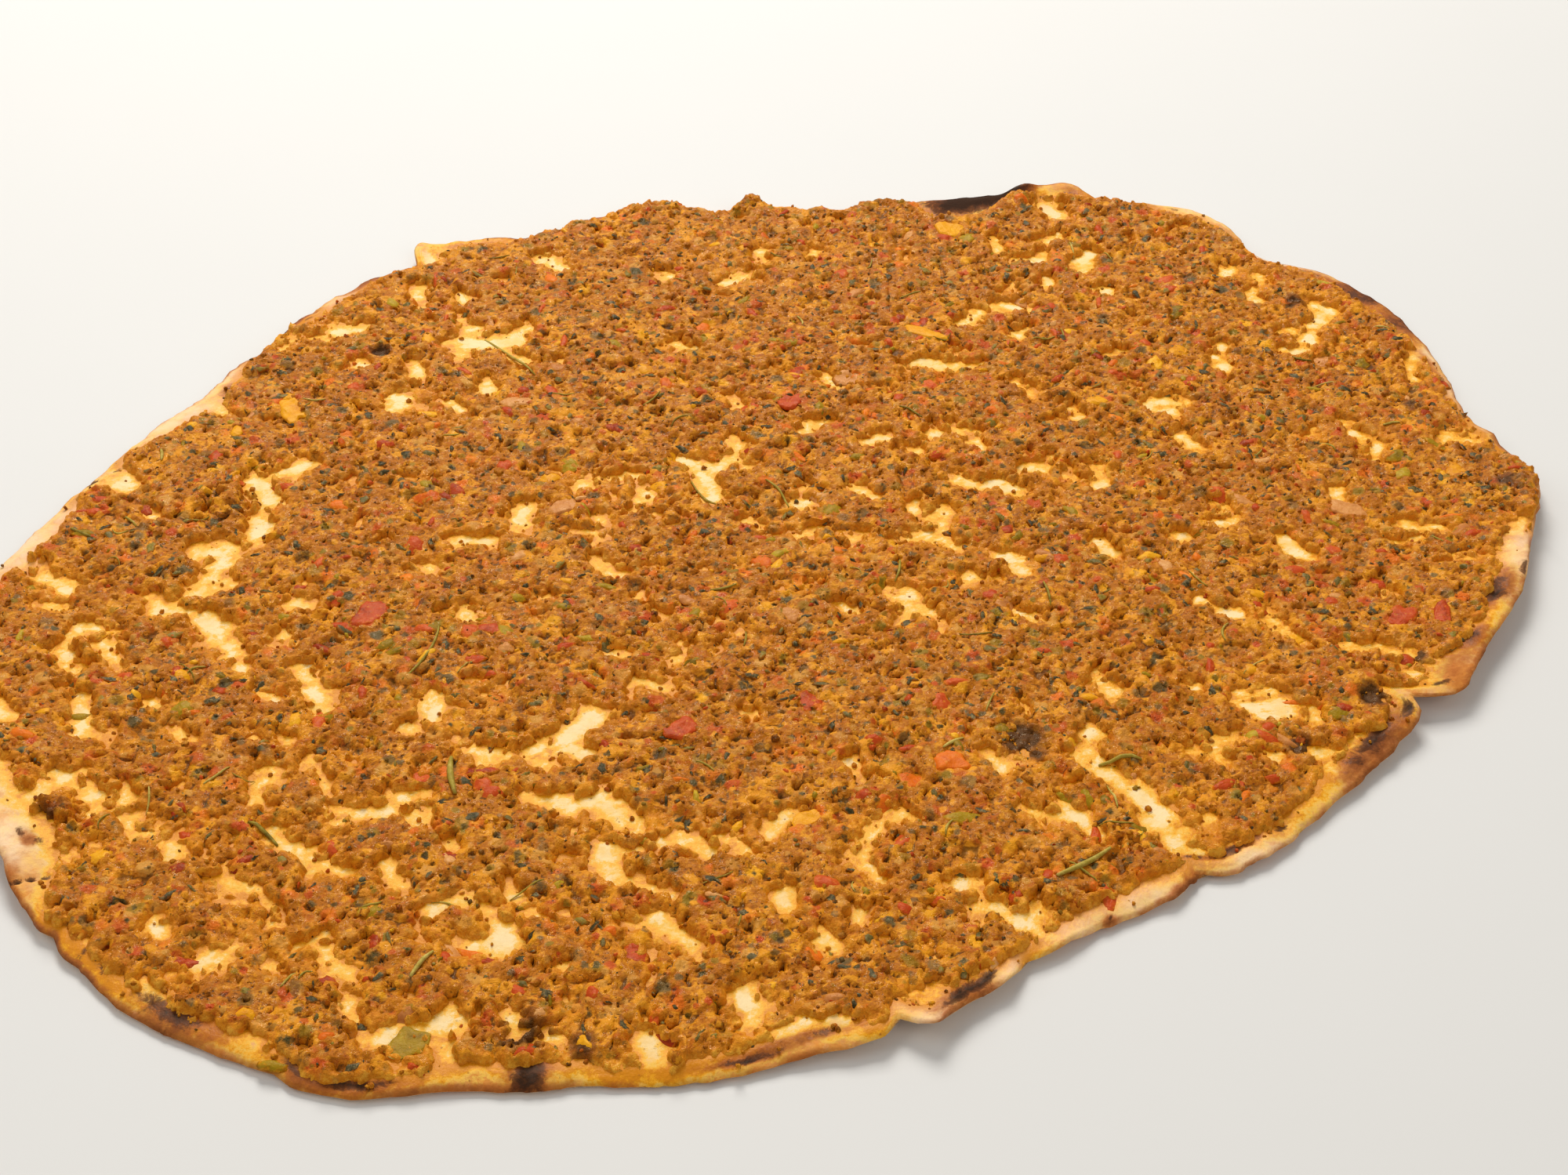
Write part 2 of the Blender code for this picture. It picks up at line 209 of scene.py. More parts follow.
def makePiece(name, points, quads, replaced=None, attributes=None, walls=(), crease=None):
    # points in metres; quads is an array of corner numbers; walls are longer faces
    mesh = bpy.data.meshes.new(name)
    quads = np.asarray(quads, dtype=np.int32)
    width = quads.shape[1]
    loops = [quads.ravel()] + [np.asarray(w, dtype=np.int32) for w in walls]
    totals = np.concatenate((np.full(len(quads), width), [len(w) for w in walls])).astype(np.int32)
    corners = np.concatenate(loops).astype(np.int32)
    mesh.vertices.add(len(points))
    mesh.vertices.foreach_set("co", np.asarray(points, dtype=np.float32).ravel())
    mesh.loops.add(len(corners))
    mesh.loops.foreach_set("vertex_index", corners)
    mesh.polygons.add(len(totals))
    starts = np.concatenate(([0], np.cumsum(totals)[:-1])).astype(np.int32)
    mesh.polygons.foreach_set("loop_start", starts)
    mesh.update(calc_edges=True)
    mesh.shade_smooth()
    if crease is not None:
        mesh.set_sharp_from_angle(angle=math.radians(crease))
    for label, values in (attributes or {}).items():
        layer = mesh.attributes.new(label, "FLOAT", "POINT")
        layer.data.foreach_set("value", np.asarray(values, dtype=np.float32).ravel())
    piece = bpy.data.objects.new(name, mesh)
    bpy.context.scene.collection.objects.link(piece)
    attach(piece, "root")
    if replaced:
        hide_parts(replaced)
    return piece


# each stroke is (from x, from y, to x, to y, half width)
bare = {
    "strokes": (
        (-89, 93, -87, 90, 3.0), (-89, 78, -87, 71, 1.4), (-77, 76, -76, 73, 1.8),
        (-73, 56, -64, 57, 4.0), (-64, 58, -62, 62, 1.8), (-71, 59, -77, 67, 1.6),
        (-64, 54, -59, 47, 1.7), (-73, 53, -76, 50, 1.6), (-85, 48, -83, 43, 1.7),
        (-98, 48, -97, 47, 1.3), (-105, 60, -99, 61, 1.5), (-107, 57, -106, 55, 1.3),
        (-86, 33, -86, 31, 2.6), (-67, 40, -67, 38, 1.9), (-75, 34, -73, 30, 1.1),
        (-60, 94, -55, 90, 2.0), (-52, 50, -51, 47, 1.6), (-114, 56, -115, 52, 1.4),
        (-129, 30, -124, 27, 1.6), (-108, 5, -101, 8, 1.7), (-112, 0, -108, -5, 2.6),
        (-109, -9, -108, -17, 2.1), (-143, 0, -138, -3, 2.4), (-132, -11, -130, -11, 1.2),
        (-30, 88, -31, 84, 1.6), (-16, 86, -11, 89, 1.7), (-7, 100, -7, 98, 1.5),
        (6, 102, 6, 101, 1.0), (-27, 59, -21, 57, 1.1), (50, 108, 51, 104, 1.0),
        (55, 99, 61, 101, 1.7), (49, 79, 56, 79, 1.7), (51, 84, 54, 87, 1.0),
        (42, 71, 45, 76, 1.3), (53, 66, 54, 68, 1.1), (26, 52, 27, 50, 1.2),
        (31, 53, 35, 51, 1.7), (39, 61, 40, 58, 1.0), (36, 52, 44, 54, 0.8),
        (51, 47, 55, 43, 2.1), (9, 48, 12, 42, 1.3), (19, 42, 23, 43, 1.4),
        (-13, 38, -11, 34, 1.3), (5, 26, 9, 29, 1.9), (17, 23, 22, 25, 1.4), (26, 21, 29, 20, 1.2),
        (32, 28, 33, 26, 1.5), (37, 29, 38, 27, 1.2), (42, 27, 42, 21, 1.1),
        (-10, 20, -13, 12, 1.8), (-22, 14, -15, 11, 1.7), (-19, 9, -14, -1, 2.1),
        (-9, 11, -5, 13, 1.1), (-40, 5, -33, 7, 1.5), (-29, 0, -32, -5, 1.5), (-42, 4, -41, 3, 1.4),
        (38, 9, 50, 6, 2.4), (44, 9, 49, 9, 1.6), (52, 14, 58, 18, 1.5), (3, 4, 4, 4, 1.1),
        (2, -1, 6, -2, 1.3), (15, 5, 18, 3, 1.2), (27, -2, 29, 2, 1.0), (34, -2, 33, -8, 1.3),
        (-55, -6, -55, -11, 2.4), (-39, -8, -38, -8, 1.8), (-43, -12, -39, -15, 2.5),
        (-8, -8, -7, -8, 1.1), (2, -12, 8, -11, 1.0), (12, -13, 17, -10, 1.3),
        (22, -13, 29, -10, 1.5), (29, -10, 36, -14, 1.6), (73, 105, 71, 97, 2.2),
        (63, 110, 66, 112, 1.4), (72, 88, 76, 87, 1.1), (62, 89, 62, 91, 1.4),
        (107, 98, 106, 96, 1.5), (114, 96, 111, 84, 1.1), (127, 82, 121, 69, 2.2),
        (114, 71, 119, 73, 1.3), (116, 62, 120, 63, 1.4), (127, 64, 127, 62, 0.9),
        (98, 60, 100, 57, 2.5), (101, 64, 100, 61, 1.0), (77, 61, 74, 60, 0.9),
        (145, 65, 143, 57, 1.1), (143, 55, 143, 53, 1.6), (81, 40, 88, 41, 1.6),
        (84, 38, 87, 36, 2.1), (86, 28, 91, 23, 1.7), (64, 37, 65, 35, 1.3),
        (124, 36, 125, 35, 1.0), (125, 30, 130, 27, 1.4), (130, 26, 129, 21, 1.1),
        (117, 30, 117, 29, 0.9), (147, 29, 154, 27, 2.0), (61, 15, 62, 12, 0.9),
        (65, 15, 69, 15, 1.0), (69, 14, 68, 9, 1.2), (119, 9, 119, 7, 1.1), (93, 3, 92, 0, 1.5),
        (90, -4, 95, -3, 1.5), (130, -3, 138, -4, 1.1), (127, -9, 132, -8, 0.9),
        (106, -9, 107, -14, 2.5), (83, -9, 84, -8, 1.1), (66, -11, 69, -16, 1.5),
        (156, -3, 153, -12, 1.8), (-153, -28, -141, -37, 1.8), (-145, -41, -142, -42, 1.4),
        (-113, -22, -115, -36, 1.8), (-119, -24, -113, -23, 1.2), (-117, -36, -111, -33, 1.7),
        (-124, -41, -117, -43, 2.0), (-117, -43, -110, -48, 1.8), (-110, -48, -105, -54, 2.2),
        (-104, -57, -102, -60, 1.3), (-138, -49, -131, -50, 1.7), (-139, -53, -138, -60, 1.5),
        (-131, -53, -129, -58, 2.2), (-136, -61, -132, -60, 1.4), (-126, -38, -125, -39, 1.3),
        (-98, -40, -93, -40, 1.4), (-98, -47, -97, -48, 1.3), (-63, -40, -61, -41, 1.8),
        (-73, -26, -71, -29, 1.0), (-68, -17, -61, -17, 1.5), (-48, -35, -47, -35, 1.3),
        (-92, -58, -91, -61, 1.3), (-89, -65, -87, -67, 2.3), (-98, -65, -95, -68, 1.2),
        (-66, -65, -65, -70, 2.0), (-69, -74, -68, -75, 1.8), (-57, -80, -50, -81, 1.2),
        (-132, -71, -129, -77, 1.8), (-146, -74, -144, -75, 1.6), (-119, -69, -118, -70, 1.2),
        (-113, -76, -109, -79, 1.0), (-97, -78, -91, -80, 1.0), (-92, -82, -93, -87, 0.9),
        (-86, -84, -81, -92, 1.5), (-130, -91, -122, -95, 1.8), (-124, -94, -122, -99, 1.6),
        (-133, -94, -134, -98, 1.2), (-119, -92, -117, -95, 1.1), (-115, -100, -114, -104, 1.0),
        (-93, -90, -95, -95, 1.2), (-79, -97, -64, -97, 1.9), (-70, -93, -65, -92, 1.8),
        (-108, -106, -106, -109, 1.3), (-90, -103, -84, -107, 1.4), (-85, -106, -81, -111, 1.5),
        (-81, -111, -73, -111, 1.3), (-68, -111, -65, -116, 1.4), (-60, -101, -57, -105, 1.1),
        (-58, -120, -55, -118, 2.4), (-88, -118, -86, -124, 1.0), (-96, -113, -90, -117, 0.8),
        (-131, -101, -127, -107, 1.6), (-124, -110, -124, -112, 1.3), (-76, -126, -79, -129, 1.4),
        (-37, -23, -34, -27, 1.2), (-24, -38, -23, -39, 1.0), (-19, -49, -21, -53, 1.5),
        (-33, -51, -32, -52, 1.3), (-28, -59, -21, -61, 1.1), (-5, -69, -4, -68, 1.3),
        (-35, -69, -40, -76, 2.2), (-40, -76, -45, -81, 2.0), (-43, -81, -37, -79, 1.9),
        (-54, -82, -53, -83, 1.6), (-46, -92, -36, -94, 1.3), (-33, -92, -25, -99, 2.3),
        (-30, -104, -28, -111, 2.5), (-25, -104, -20, -102, 1.6), (-24, -111, -18, -115, 1.4),
        (-18, -101, -11, -105, 1.2), (-9, -99, -5, -103, 1.2), (2, -95, 0, -99, 1.9),
        (12, -34, 16, -36, 1.1), (22, -31, 30, -35, 2.1), (26, -30, 25, -37, 1.9),
        (46, -17, 49, -22, 2.4), (36, -25, 43, -24, 1.4), (46, -34, 52, -36, 1.1),
        (47, -61, 48, -65, 1.4), (14, -80, 17, -84, 1.3), (19, -95, 23, -93, 1.2),
        (18, -98, 15, -105, 1.5), (16, -105, 19, -109, 1.0), (45, -91, 54, -93, 1.7),
        (52, -90, 58, -96, 2.0), (59, -70, 58, -78, 2.0), (60, -78, 63, -84, 1.5),
        (41, -77, 43, -80, 1.0), (31, -110, 38, -111, 1.2), (36, -117, 40, -115, 1.7),
        (1, -115, 3, -118, 1.5), (-19, -121, -13, -127, 2.1), (9, -124, 10, -126, 1.2),
        (15, -118, 15, -121, 1.1), (28, -126, 29, -128, 0.8), (44, -119, 50, -125, 2.0),
        (46, -113, 47, -116, 1.1), (-50, -120, -45, -126, 1.8), (-53, -129, -43, -128, 1.6),
        (-42, -121, -38, -122, 1.1), (-46, -114, -45, -117, 1.2), (86, -30, 91, -33, 1.5),
        (97, -32, 103, -41, 1.1), (122, -24, 124, -26, 1.4), (137, -16, 147, -15, 1.2),
        (147, -16, 153, -12, 2.0), (112, -43, 116, -43, 1.6), (116, -44, 123, -47, 1.9),
        (91, -58, 95, -58, 1.8), (91, -62, 97, -61, 2.3), (93, -64, 95, -64, 1.7),
        (102, -62, 103, -66, 1.5), (62, -54, 64, -57, 1.2), (80, -55, 81, -57, 1.0),
        (73, -73, 78, -74, 1.0), (82, -71, 84, -76, 1.6), (87, -69, 88, -73, 1.1),
        (91, -73, 93, -76, 1.0), (67, -86, 70, -93, 2.2), (69, -93, 73, -97, 2.2),
        (72, -98, 78, -103, 2.2), (79, -91, 79, -93, 1.0), (103, -75, 111, -71, 1.3),
        (103, -78, 104, -79, 1.1), (120, -61, 118, -66, 1.2), (124, -53, 128, -51, 1.2),
        (-96, -134, -90, -130, 2.0), (-104, -128, -106, -125, 1.2), (-84, -135, -83, -136, 1.0),
        (-76, -131, -72, -135, 1.9), (-70, -140, -70, -142, 1.4), (-104, -141, -102, -143, 1.8),
        (-64, -149, -58, -147, 1.9), (-55, -147, -51, -144, 2.6), (-52, -150, -51, -155, 1.4),
        (-44, -143, -40, -146, 1.5), (-39, -149, -36, -148, 1.2), (-19, -148, -18, -153, 2.0),
        (-4, -137, -3, -142, 2.3), (-35, -133, -35, -135, 1.0), (3, -146, 11, -144, 2.0),
        (25, -137, 28, -136, 1.5), (-84, -153, -85, -150, 2.2), (64, 124, 66, 120, 2.6),
    ),
    "ragged": 1.35,      # how far the edge of a patch wanders
    "warp": 1.7,         # how far the strokes are bent
    "wider": 0.12,       # added to every half width
    "small": 0.66,       # noise above this opens a small extra gap
}


def bareDistance(x, y):
    # millimetres from the nearest bare stroke, negative inside it; the plan is warped first and the edge
    # is ragged at four scales
    warped = x + bare["warp"] * layered(x, y, 5.0, 12), y + bare["warp"] * layered(x, y, 5.0, 17)
    near = np.full(x.shape, 40.0)
    for x0, y0, x1, y1, half in bare["strokes"]:
        pick = (np.abs(x - (x0 + x1) / 2) < 16) & (np.abs(y - (y0 + y1) / 2) < 16)
        px, py = warped[0][pick], warped[1][pick]
        dx, dy = x1 - x0, y1 - y0
        along = np.clip(((px - x0) * dx + (py - y0) * dy) / max(dx * dx + dy * dy, 1e-6), 0.0, 1.0)
        away = np.hypot(px - x0 - along * dx, py - y0 - along * dy) - half
        near[pick] = np.minimum(near[pick], away)
    edge = layered(x, y, 2.8, 11, 4) * 1.5 + 0.6 * softNoise(x, y, 1.2, 15) + 0.4 * softNoise(x, y, 0.7, 16)
    edge = edge + 0.9 * softNoise(x, y, 4.2, 19)
    near = near - bare["wider"] + bare["ragged"] * edge
    # small openings where noise is high, more of them towards the lower left
    opening = layered(x, y, 4.0, 21) - 0.0003 * (x + y)
    return np.minimum(near, (bare["small"] - opening) * 4.5)


def mincePresence(x, y):
    # millimetres inside the mince, from its nearest edge or patch; negative where the bread is bare
    direction, inward = polar(x, y)
    rim = rimWidth(direction) + (1.1 * layered(x, y, 5.0, 31) + 0.5 * softNoise(x, y, 1.3, 34))
    return np.minimum(inward - np.maximum(rim, 0.2), bareDistance(x, y))


mince = {
    "cell": 0.42,        # spacing of the surface points
    "block": 4,          # the closed underside has one square for this many cells
    "body": 2.1,         # even part of the thickness
    "least": 0.9,        # the body is never thinner than this
    "thinning": 1.2,     # how much thinner it gets in places
    "skin": 0.88,        # thickness of the thin edges by the bare patches
    "sink": 0.75,        # how far the layer's foot lies in the bread
    "foot": 0.6,         # how much deeper its hidden underside lies
    # clumps and hollows: (x, y, height, radius)
    "clumps": ((-117, -9, 2.2, 6), (-129, -100, 1.8, 7), (-122, -30, 0.9, 6), (109, -51, 0.9, 6),
               (-135, -56, 1.6, 3), (-36, 119, 1.8, 4), (-12, 122, 1.8, 4), (28, 127, 2.6, 4),
               (61, 134, 2.6, 4), (20, 122, 1.6, 4), (158, 8, 1.2, 8), (46, -72, -2.0, 3.2),
               (49, -77, -1.6, 2.2), (43, -70, -1.4, 2.0), (114, -59, -2.2, 2.4),
               (125, -47, -1.8, 1.8), (-93, 51, -2.4, 2.0), (-88, 53, -1.4, 1.2),
               (-50, 21, -1.6, 1.8), (-43, 21, -1.4, 1.0), (98, -73, -1.8, 2.2),
               (25, 57, -1.8, 2.0), (133, 57, -1.8, 1.8), (-49, -68, -1.6, 2.0),
               (-28, -69, -1.8, 1.6), (-28, 65, -1.5, 1.5), (-42, 10, -1.5, 1.6),
               (-84, -82, -1.6, 1.4), (-60, -34, -1.6, 1.3), (-5, 108, -1.8, 1.6)),
}
# places where the mince is scorched dark: x, y, radius
scorched = ((46, -73, 4.5), (114, -60, 3.2), (125, -48, 2.5), (98, -73, 3.0), (-93, 51, 2.5),
            (133, 57, 2.5), (-40, -147, 5.0), (-30, -150, 3.0), (62, 132, 5.0), (28, 126, 4.0),
            (-129, -100, 3.0), (155, 10, 4.0), (140, 40, 3.0), (120, 84, 3.0))
vegetables = {
    "pepper_yellow_1": ("yellow_pepper", 10.0, 4.6, -62),
    "pepper_yellow_2": ("yellow_pepper", 10.0, 4.4, -18),
    "pepper_yellow_3": ("yellow_pepper", 6.8, 6.2, 70),
    "pepper_yellow_4": ("yellow_pepper", 5.8, 4.4, 30),
    "pepper_red_1": ("red_pepper", 9.0, 5.6, 75),
    "pepper_red_2": ("red_pepper", 8.0, 4.6, 60),
    "pepper_red_3": ("red_pepper", 7.2, 3.4, 75),
    "pepper_red_4": ("red_pepper", 6.2, 5.4, 80),
    "pepper_orange_1": ("orange_pepper", 7.0, 4.8, 10),
    "tomato_piece_1": ("red_pepper", 6.6, 5.4, 50),
    "pepper_green_1": ("green_pepper", 7.0, 5.8, 70),
    "onion_piece_1": ("onion", 6.0, 5.4, 20),
    "onion_piece_2": ("onion", 8.0, 5.2, -15),
}


def nodeMiddle(node):
    # plan place of a CAD node, in millimetres
    low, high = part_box(node)
    return (low[0] + high[0]) / 2 / mm + planMiddle[0], (low[1] + high[1]) / 2 / mm + planMiddle[1]


def minceTop(x, y, presence):
    # height of the mince over the bread: an even body with slow swells, thinner here and there; on it
    # flat-topped chunks, chips and round grains, folds of |noise| and pores. The edge of the mince follows
    # whole chips, in places as a step and in others thinning out
    warpX = x + 1.4 * layered(x, y, 2.6, 41) + 0.4 * softNoise(x, y, 0.95, 43)
    warpY = y + 1.4 * layered(x, y, 2.6, 45) + 0.4 * softNoise(x, y, 0.95, 46)
    chunk, chunkTone, _ = crumble(warpX, warpY, 4.6, 51, 0.1)
    chip, chipTone, _ = crumble(warpX + 0.5 * softNoise(x, y, 0.9, 47), warpY, 2.0, 52, 0.15)
    grain, grainTone, _ = crumble(x + 0.5 * softNoise(x, y, 0.8, 48),
                                  y + 0.5 * softNoise(x, y, 0.8, 49), 1.05, 53)
    _, active, near = crumble(warpX, warpY, 2.7, 54)
    thin = smooth((layered(x, y, 6.5, 91, 3) - 0.0003 * (x + y) - 0.26) / 0.4)
    body = (mince["body"] + 0.5 * layered(x, y, 9.0, 61, 4)
            + 0.35 * layered(warpX, warpY, 4.5, 62, 3) - mince["thinning"] * thin)
    for px, py, height, radius in mince["clumps"]:
        body = body + height * np.exp(-((x - px) ** 2 + (y - py) ** 2) / radius ** 2)
    body = np.maximum(body, mince["least"])
    fold = np.abs(layered(warpX, warpY, 2.6, 68, 4))
    rough = 0.2 * chunk + 0.14 * chip + 0.16 * grain + 0.38 * fold + 0.3 * layered(warpX, warpY, 1.7, 63, 2)
    grit = 0.24 * softNoise(x, y, 0.86, 64) + 0.16 * softNoise(x, y, 1.3, 65)
    pore = smooth((0.20 - near) / 0.09) * (active > 0.42)
    inside = (presence - 0.2 + 0.5 * (chipTone - 0.5) + 0.5 * (grainTone - 0.5)
              + 0.9 * layered(x, y, 1.9, 98, 2))
    slope = 1.1 + 2.8 * smooth(layered(x, y, 7.0, 96, 2) + 0.2)
    skin = mince["skin"] + 0.25 * layered(x, y, 2.0, 97, 2)
    top = (skin * np.clip((inside + 0.6) / 1.1, 0.0, 1.0)
           + (body - skin) * np.clip(inside / slope, 0.0, 1.0) ** 0.9)
    top = (top + rough * smooth((inside + 0.6) / 1.6) - 0.8 * pore * smooth(inside / 1.5)
           - mince["sink"] + grit)
    return top - 1.0 * smooth(-inside / 0.9), 0.25 * chunkTone + 0.35 * chipTone + 0.4 * grainTone


cell = mince["cell"]
low = (ringX.min() - 2.0, ringY.min() - 2.0)
count = [int((high - start) / cell / mince["block"] + 2) * mince["block"]
         for high, start in ((ringX.max(), low[0]), (ringY.max(), low[1]))]
gridX, gridY = np.meshgrid(low[0] + cell * np.arange(count[0] + 1), low[1] + cell * np.arange(count[1] + 1),
                           indexing="ij")
presence = mincePresence(gridX, gridY)
topping, tone = minceTop(gridX, gridY, presence)
for node, (slot, length, width, turn) in vegetables.items():
    px, py = nodeMiddle(node)
    c, s = math.cos(math.radians(turn)), math.sin(math.radians(turn))
    along, across = (gridX - px) * c + (gridY - py) * s, (gridY - py) * c - (gridX - px) * s
    oval = np.sqrt((along / (length / 2)) ** 2 + (across / (width / 2)) ** 2)
    topping = topping - 1.0 * smooth((0.92 - oval) / 0.25)
topping = np.maximum(topping, -mince["sink"] - 0.8 * mince["foot"])
# points past the bread's edge, or nearer to it than the margin, are drawn in under its rim
margin = 0.6
_, inwardHere = polar(gridX, gridY)
past = inwardHere < margin
fromHub = np.hypot(gridX - bread["hub"][0], gridY - bread["hub"][1])
drawnIn = np.where(past, 1.0 - (margin - inwardHere) / np.maximum(fromHub, 1.0), 1.0)
placeX = bread["hub"][0] + (gridX - bread["hub"][0]) * drawnIn
placeY = bread["hub"][1] + (gridY - bread["hub"][1]) * drawnIn
topping = np.where(past, -1.0, topping)
breadTop = lift(placeX, placeY) + bread["thick"]
# painted shade in the hollows: how far the surface lies below itself blurred over 0.7 mm and over 2 mm
hollowShade = (blurred(topping, 0.7 / cell) - topping) / 0.35 + (blurred(topping, 2.0 / cell) - topping) / 1.0
hollowShade = np.clip(hollowShade + 0.25, 0.0, 1.0)
slopeX, slopeY = np.gradient(blurred(topping, 0.6), cell)
# crumbs lean out a little, so their sides overhang: the push is bulge * slope, at most mostPush
bulge, mostPush = 0.06, 0.3
pushX = np.where(past, 0.0, np.clip(-bulge * slopeX, -mostPush, mostPush))
pushY = np.where(past, 0.0, np.clip(-bulge * slopeY, -mostPush, mostPush))
soft = blurred(topping, 1.0 / cell)
thinness = np.clip(1.0 - blurred(topping, 1.3 / cell) / 2.2, 0.0, 1.0)
# scorching, a sum of exp(-(distance / radius)^2) over the scorched places, and painted shade in the dug
# hollows, darker the deeper each is; all made ragged by noise
scorchAndDipShade = sum(np.exp(-((gridX - px) ** 2 + (gridY - py) ** 2) / radius ** 2) for px, py, radius in scorched)
# painted shade: each dug hollow is darkened by its depth
for px, py, height, radius in mince["clumps"]:
    if height < 0:
        away = (gridX - px) ** 2 + (gridY - py) ** 2
        scorchAndDipShade = scorchAndDipShade - 0.5 * height * np.exp(-away / (0.8 * radius) ** 2)
scorchAndDipShade = np.clip(scorchAndDipShade * (1.0 + 0.8 * layered(gridX, gridY, 3.0, 93, 3)), 0.0, 1.0)
surface = {"height": breadTop + topping, "soft": breadTop + soft,
           "level": breadTop + blurred(topping, 2.6 / cell), "presence": presence,
           "slopeX": np.gradient(soft, cell)[0], "slopeY": np.gradient(soft, cell)[1]}
print("mince field", topping.shape)


def readField(label, x, y):
    # bilinear reading of a grid at plan places
    field = surface[label]
    u = np.clip((x - low[0]) / cell, 0, field.shape[0] - 1.001)
    v = np.clip((y - low[1]) / cell, 0, field.shape[1] - 1.001)
    i, j = u.astype(int), v.astype(int)
    a, b = u - i, v - j
    return ((field[i, j] * (1 - a) + field[i + 1, j] * a) * (1 - b)
            + (field[i, j + 1] * (1 - a) + field[i + 1, j + 1] * a) * b)


def minceBlock(name, wanted):
    # a closed piece of the layer over the wanted blocks: fine upper surface, coarse hidden underside,
    # and upright walls between them whose upper edge lies in the bread
    step = mince["block"]
    nx, ny = wanted.shape
    cellWanted = np.repeat(np.repeat(wanted, step, 0), step, 1)
    number = np.arange(gridX.size).reshape(gridX.shape)
    i, j = np.nonzero(cellWanted)
    upper = np.stack((number[i, j], number[i + 1, j], number[i + 1, j + 1], number[i, j + 1]), axis=1)
    below = gridX.size + np.arange((nx + 1) * (ny + 1)).reshape(nx + 1, ny + 1)
    i, j = np.nonzero(wanted)
    lower = np.stack((below[i, j], below[i, j + 1], below[i + 1, j + 1], below[i + 1, j]), axis=1)
    padded = np.pad(wanted, 1)
    walls = []
    for di, dj in ((1, 0), (-1, 0), (0, 1), (0, -1)):
        bi, bj = np.nonzero(wanted & ~padded[1 + di:nx + 1 + di, 1 + dj:ny + 1 + dj])
        for a, b in zip(bi, bj):
            if di:
                p = a + (di > 0)
                line = number[p * step, b * step:(b + 1) * step + 1]
                ends = (below[p, b], below[p, b + 1])
                flip = di < 0
            else:
                p = b + (dj > 0)
                line = number[a * step:(a + 1) * step + 1, p * step]
                ends = (below[a, p], below[a + 1, p])
                flip = dj > 0
            face = [ends[0], ends[1]] + list(line[::-1])
            walls.append(face[::-1] if flip else face)
    x, y = placeX + pushX, placeY + pushY
    points = toWorld(x, y, breadTop + topping).reshape(-1, 3)
    coarse = (slice(None, None, step), slice(None, None, step))
    bottomZ = breadTop[coarse] - mince["sink"] - mince["foot"]
    bottom = toWorld(placeX[coarse], placeY[coarse], bottomZ).reshape(-1, 3)
    points = np.concatenate((points, bottom))
    pad = np.zeros(len(bottom))
    # the hollow value is painted shade in the mince's hollows
    values = {"hollowShade": np.concatenate((hollowShade.ravel(), pad)),
              "tone": np.concatenate((tone.ravel(), pad)),
              "thin": np.concatenate((thinness.ravel(), pad)),
              # the scorch value is scorching, plus painted shade in the dips
              "scorchAndDipShade": np.concatenate((scorchAndDipShade.ravel(), pad))}
    quads = np.concatenate((upper, lower))
    used = np.zeros(len(points), dtype=bool)
    used[quads.ravel()] = True
    renumber = np.cumsum(used) - 1
    walls = [renumber[np.array(w)] for w in walls]
    values = {label: v[used] for label, v in values.items()}
    piece = makePiece(name, points[used], renumber[quads], "mince_topping", values, walls, 75.0)
    print(name, len(quads) * 2, "triangles")
    return piece


step = mince["block"]
blocks = [c // step for c in count]
covered = ((topping > -0.5) & (inwardHere > 0.0))[:-1, :-1]
covered = covered.reshape(blocks[0], step, blocks[1], step).any(axis=(1, 3))
blockX = np.arange(blocks[0])[:, None] * np.ones((1, blocks[1]))
cuts = [-1] + list(np.quantile(blockX[covered], (0.2, 0.4, 0.6, 0.8))) + [blocks[0]]
bands = list(zip(cuts[:-1], cuts[1:]))
mincePieces = [minceBlock(f"mince_layer_{n + 1}", covered & (blockX > a) & (blockX <= b))
               for n, (a, b) in enumerate(bands)]


def discMap(cells):
    # square grid to disc: the square's rings become circles; u, v in -1..1 give direction and ring
    line = np.linspace(-1.0, 1.0, cells + 1)
    u, v = np.meshgrid(line, line, indexing="ij")
    flat = np.abs(u) >= np.abs(v)
    safeU, safeV = np.where(u == 0, 1e-9, u), np.where(v == 0, 1e-9, v)
    angle = np.where(flat, math.pi / 4 * v / safeU, math.pi / 2 - math.pi / 4 * u / safeV)
    signed = np.where(flat, u, v)
    return np.degrees(angle + np.where(signed < 0, math.pi, 0.0)) % 360.0, np.abs(signed)


